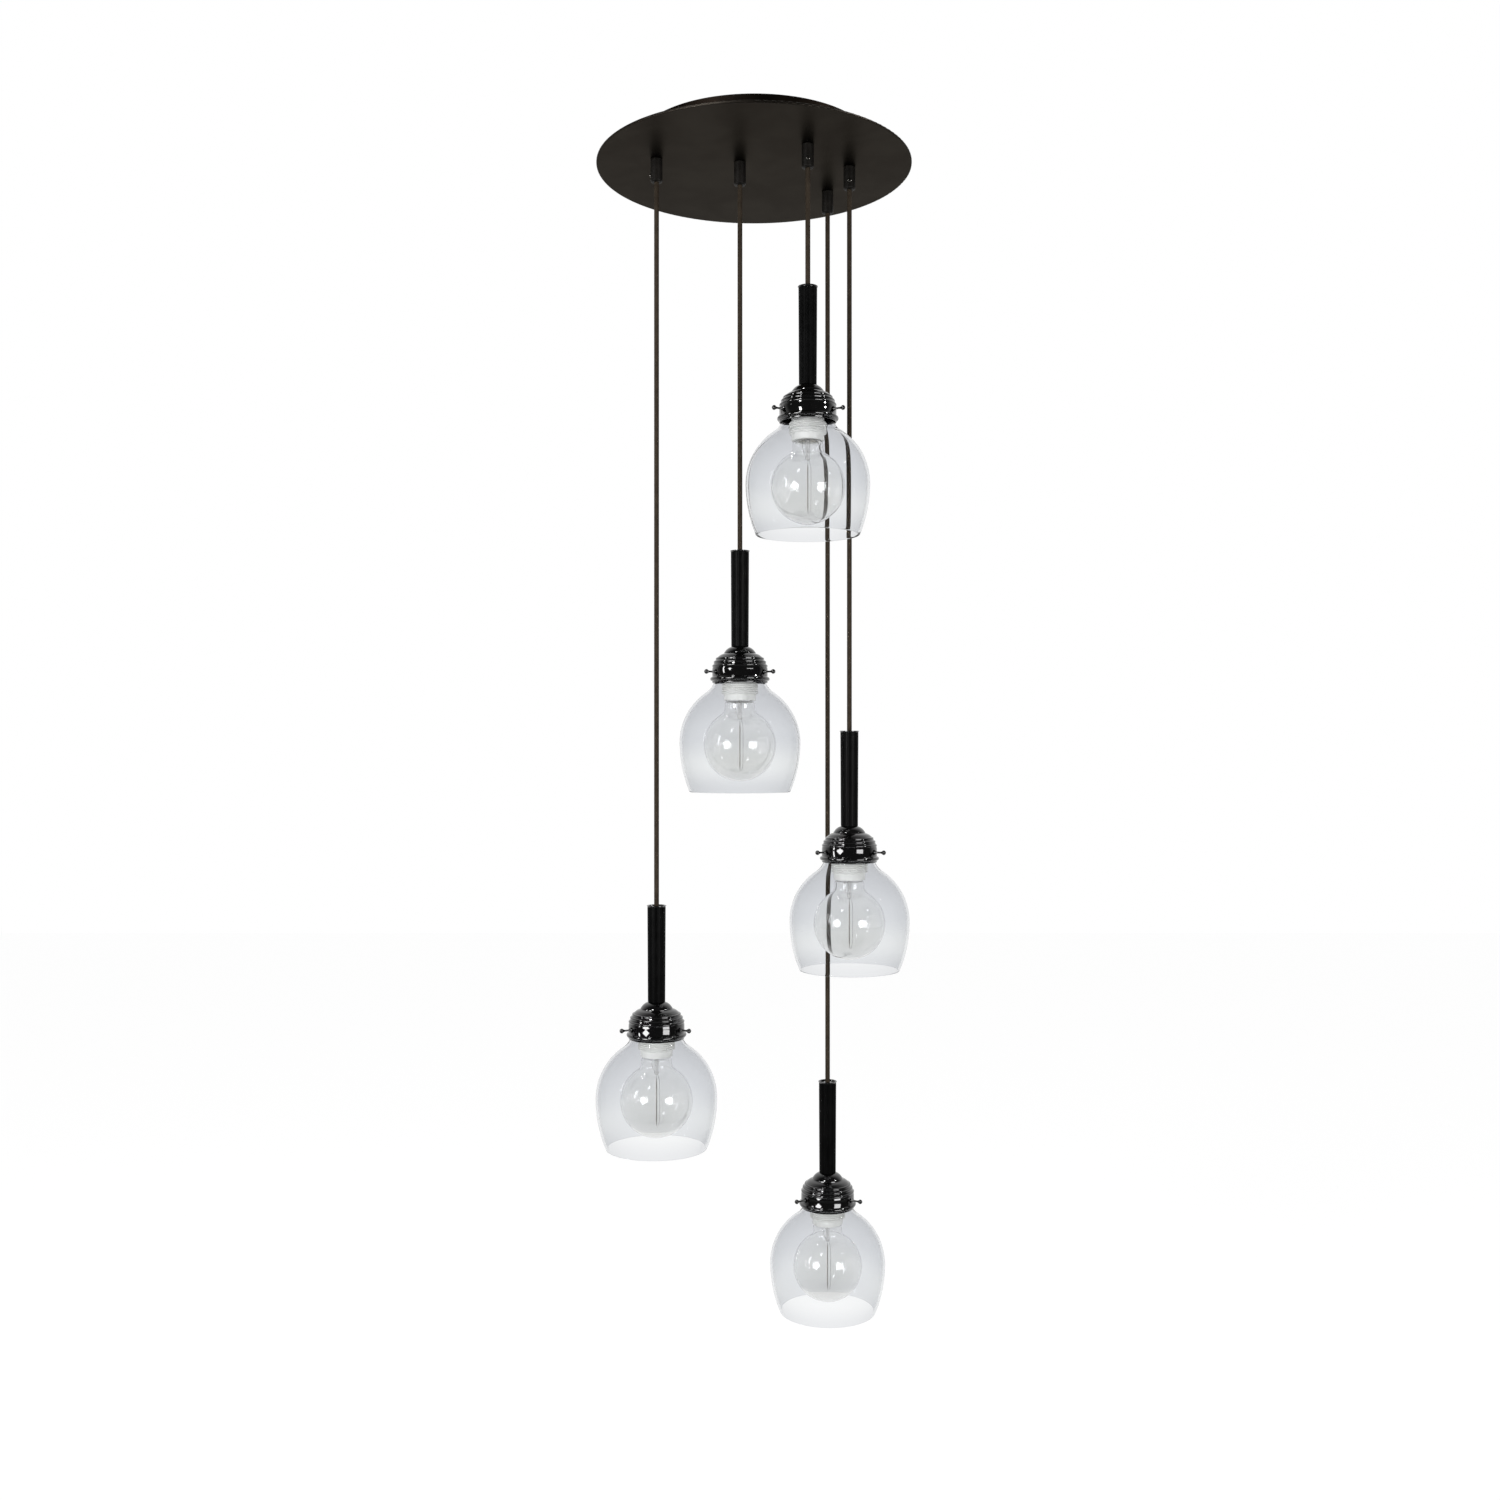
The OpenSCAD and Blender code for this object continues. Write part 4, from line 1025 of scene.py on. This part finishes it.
def floorFinish():
    material, tree, shader = newShader("studioFloor", {
        "Roughness": studio["floorRough"], "Specular IOR Level": studio["floorShine"],
        "Emission Color": white})
    place = addNode(tree, "ShaderNodeTexCoord").outputs["Object"]
    grain = addNode(tree, "ShaderNodeTexNoise", {"Vector": place, "Scale": 3.0})
    darker = [value * studio["floorDark"] for value in studio["floorColour"]]
    tone = mixColours(tree, grain.outputs["Fac"], (*studio["floorColour"], 1), (*darker, 1))
    seen = seenWhite(tree, place)
    tree.links.new(maths(tree, "MULTIPLY", seen, studio["floorGlow"]), shader.inputs["Emission Strength"])
    isSeen = maths(tree, "GREATER_THAN", seen, 0.0)
    tree.links.new(mixColours(tree, isSeen, tone, (*studio["floorSeen"], 1)), shader.inputs["Base Color"])
    return material


def makeFloor():
    parts = studio["floorParts"]
    bm = bmesh.new()
    bmesh.ops.create_grid(bm, x_segments=parts, y_segments=parts, size=studio["floorSize"] / 2)
    bmesh.ops.translate(bm, verts=bm.verts, vec=(0, 0, studio["floorZ"]))
    mesh = bpy.data.meshes.new("floor")
    bm.to_mesh(mesh)
    bm.free()
    mesh.materials.append(floorFinish())
    floor = bpy.data.objects.new("floor", mesh)
    bpy.context.scene.collection.objects.link(floor)


def makeWorld():
    world = bpy.data.worlds.new("studio")
    bpy.context.scene.world = world
    world.use_nodes = True
    tree = world.node_tree
    back = tree.nodes["Background"]
    back.inputs["Color"].default_value = white
    seen = seenWhite(tree, addNode(tree, "ShaderNodeTexCoord").outputs["Generated"])
    scattered = addNode(tree, "ShaderNodeLightPath").outputs["Is Diffuse Ray"]
    soft = maths(tree, "MULTIPLY", scattered, studio["ambient"])
    tree.links.new(maths(tree, "MAXIMUM", seen, soft), back.inputs["Strength"])


def makeLamps():
    aim = Vector(studio["aim"])
    for name, turn, rise, size, roll, power in studio["lamps"]:
        turn, rise = math.radians(turn), math.radians(rise)
        way = Vector((math.sin(turn) * math.cos(rise), -math.cos(turn) * math.cos(rise), math.sin(rise)))
        data = bpy.data.lights.new(name, "AREA")
        data.shape = "RECTANGLE"
        data.size, data.size_y = size
        data.energy = power
        lamp = bpy.data.objects.new(name, data)
        lamp.location = aim + way * studio["lampDistance"]
        look = (-way).to_track_quat("-Z", "Y").to_matrix().to_4x4()
        lamp.rotation_euler = (look @ Matrix.Rotation(math.radians(roll), 4, "Z")).to_euler()
        bpy.context.scene.collection.objects.link(lamp)


makeFloor()
makeWorld()
makeLamps()
bpy.context.scene.view_settings.view_transform = "Standard"
print("studio made")
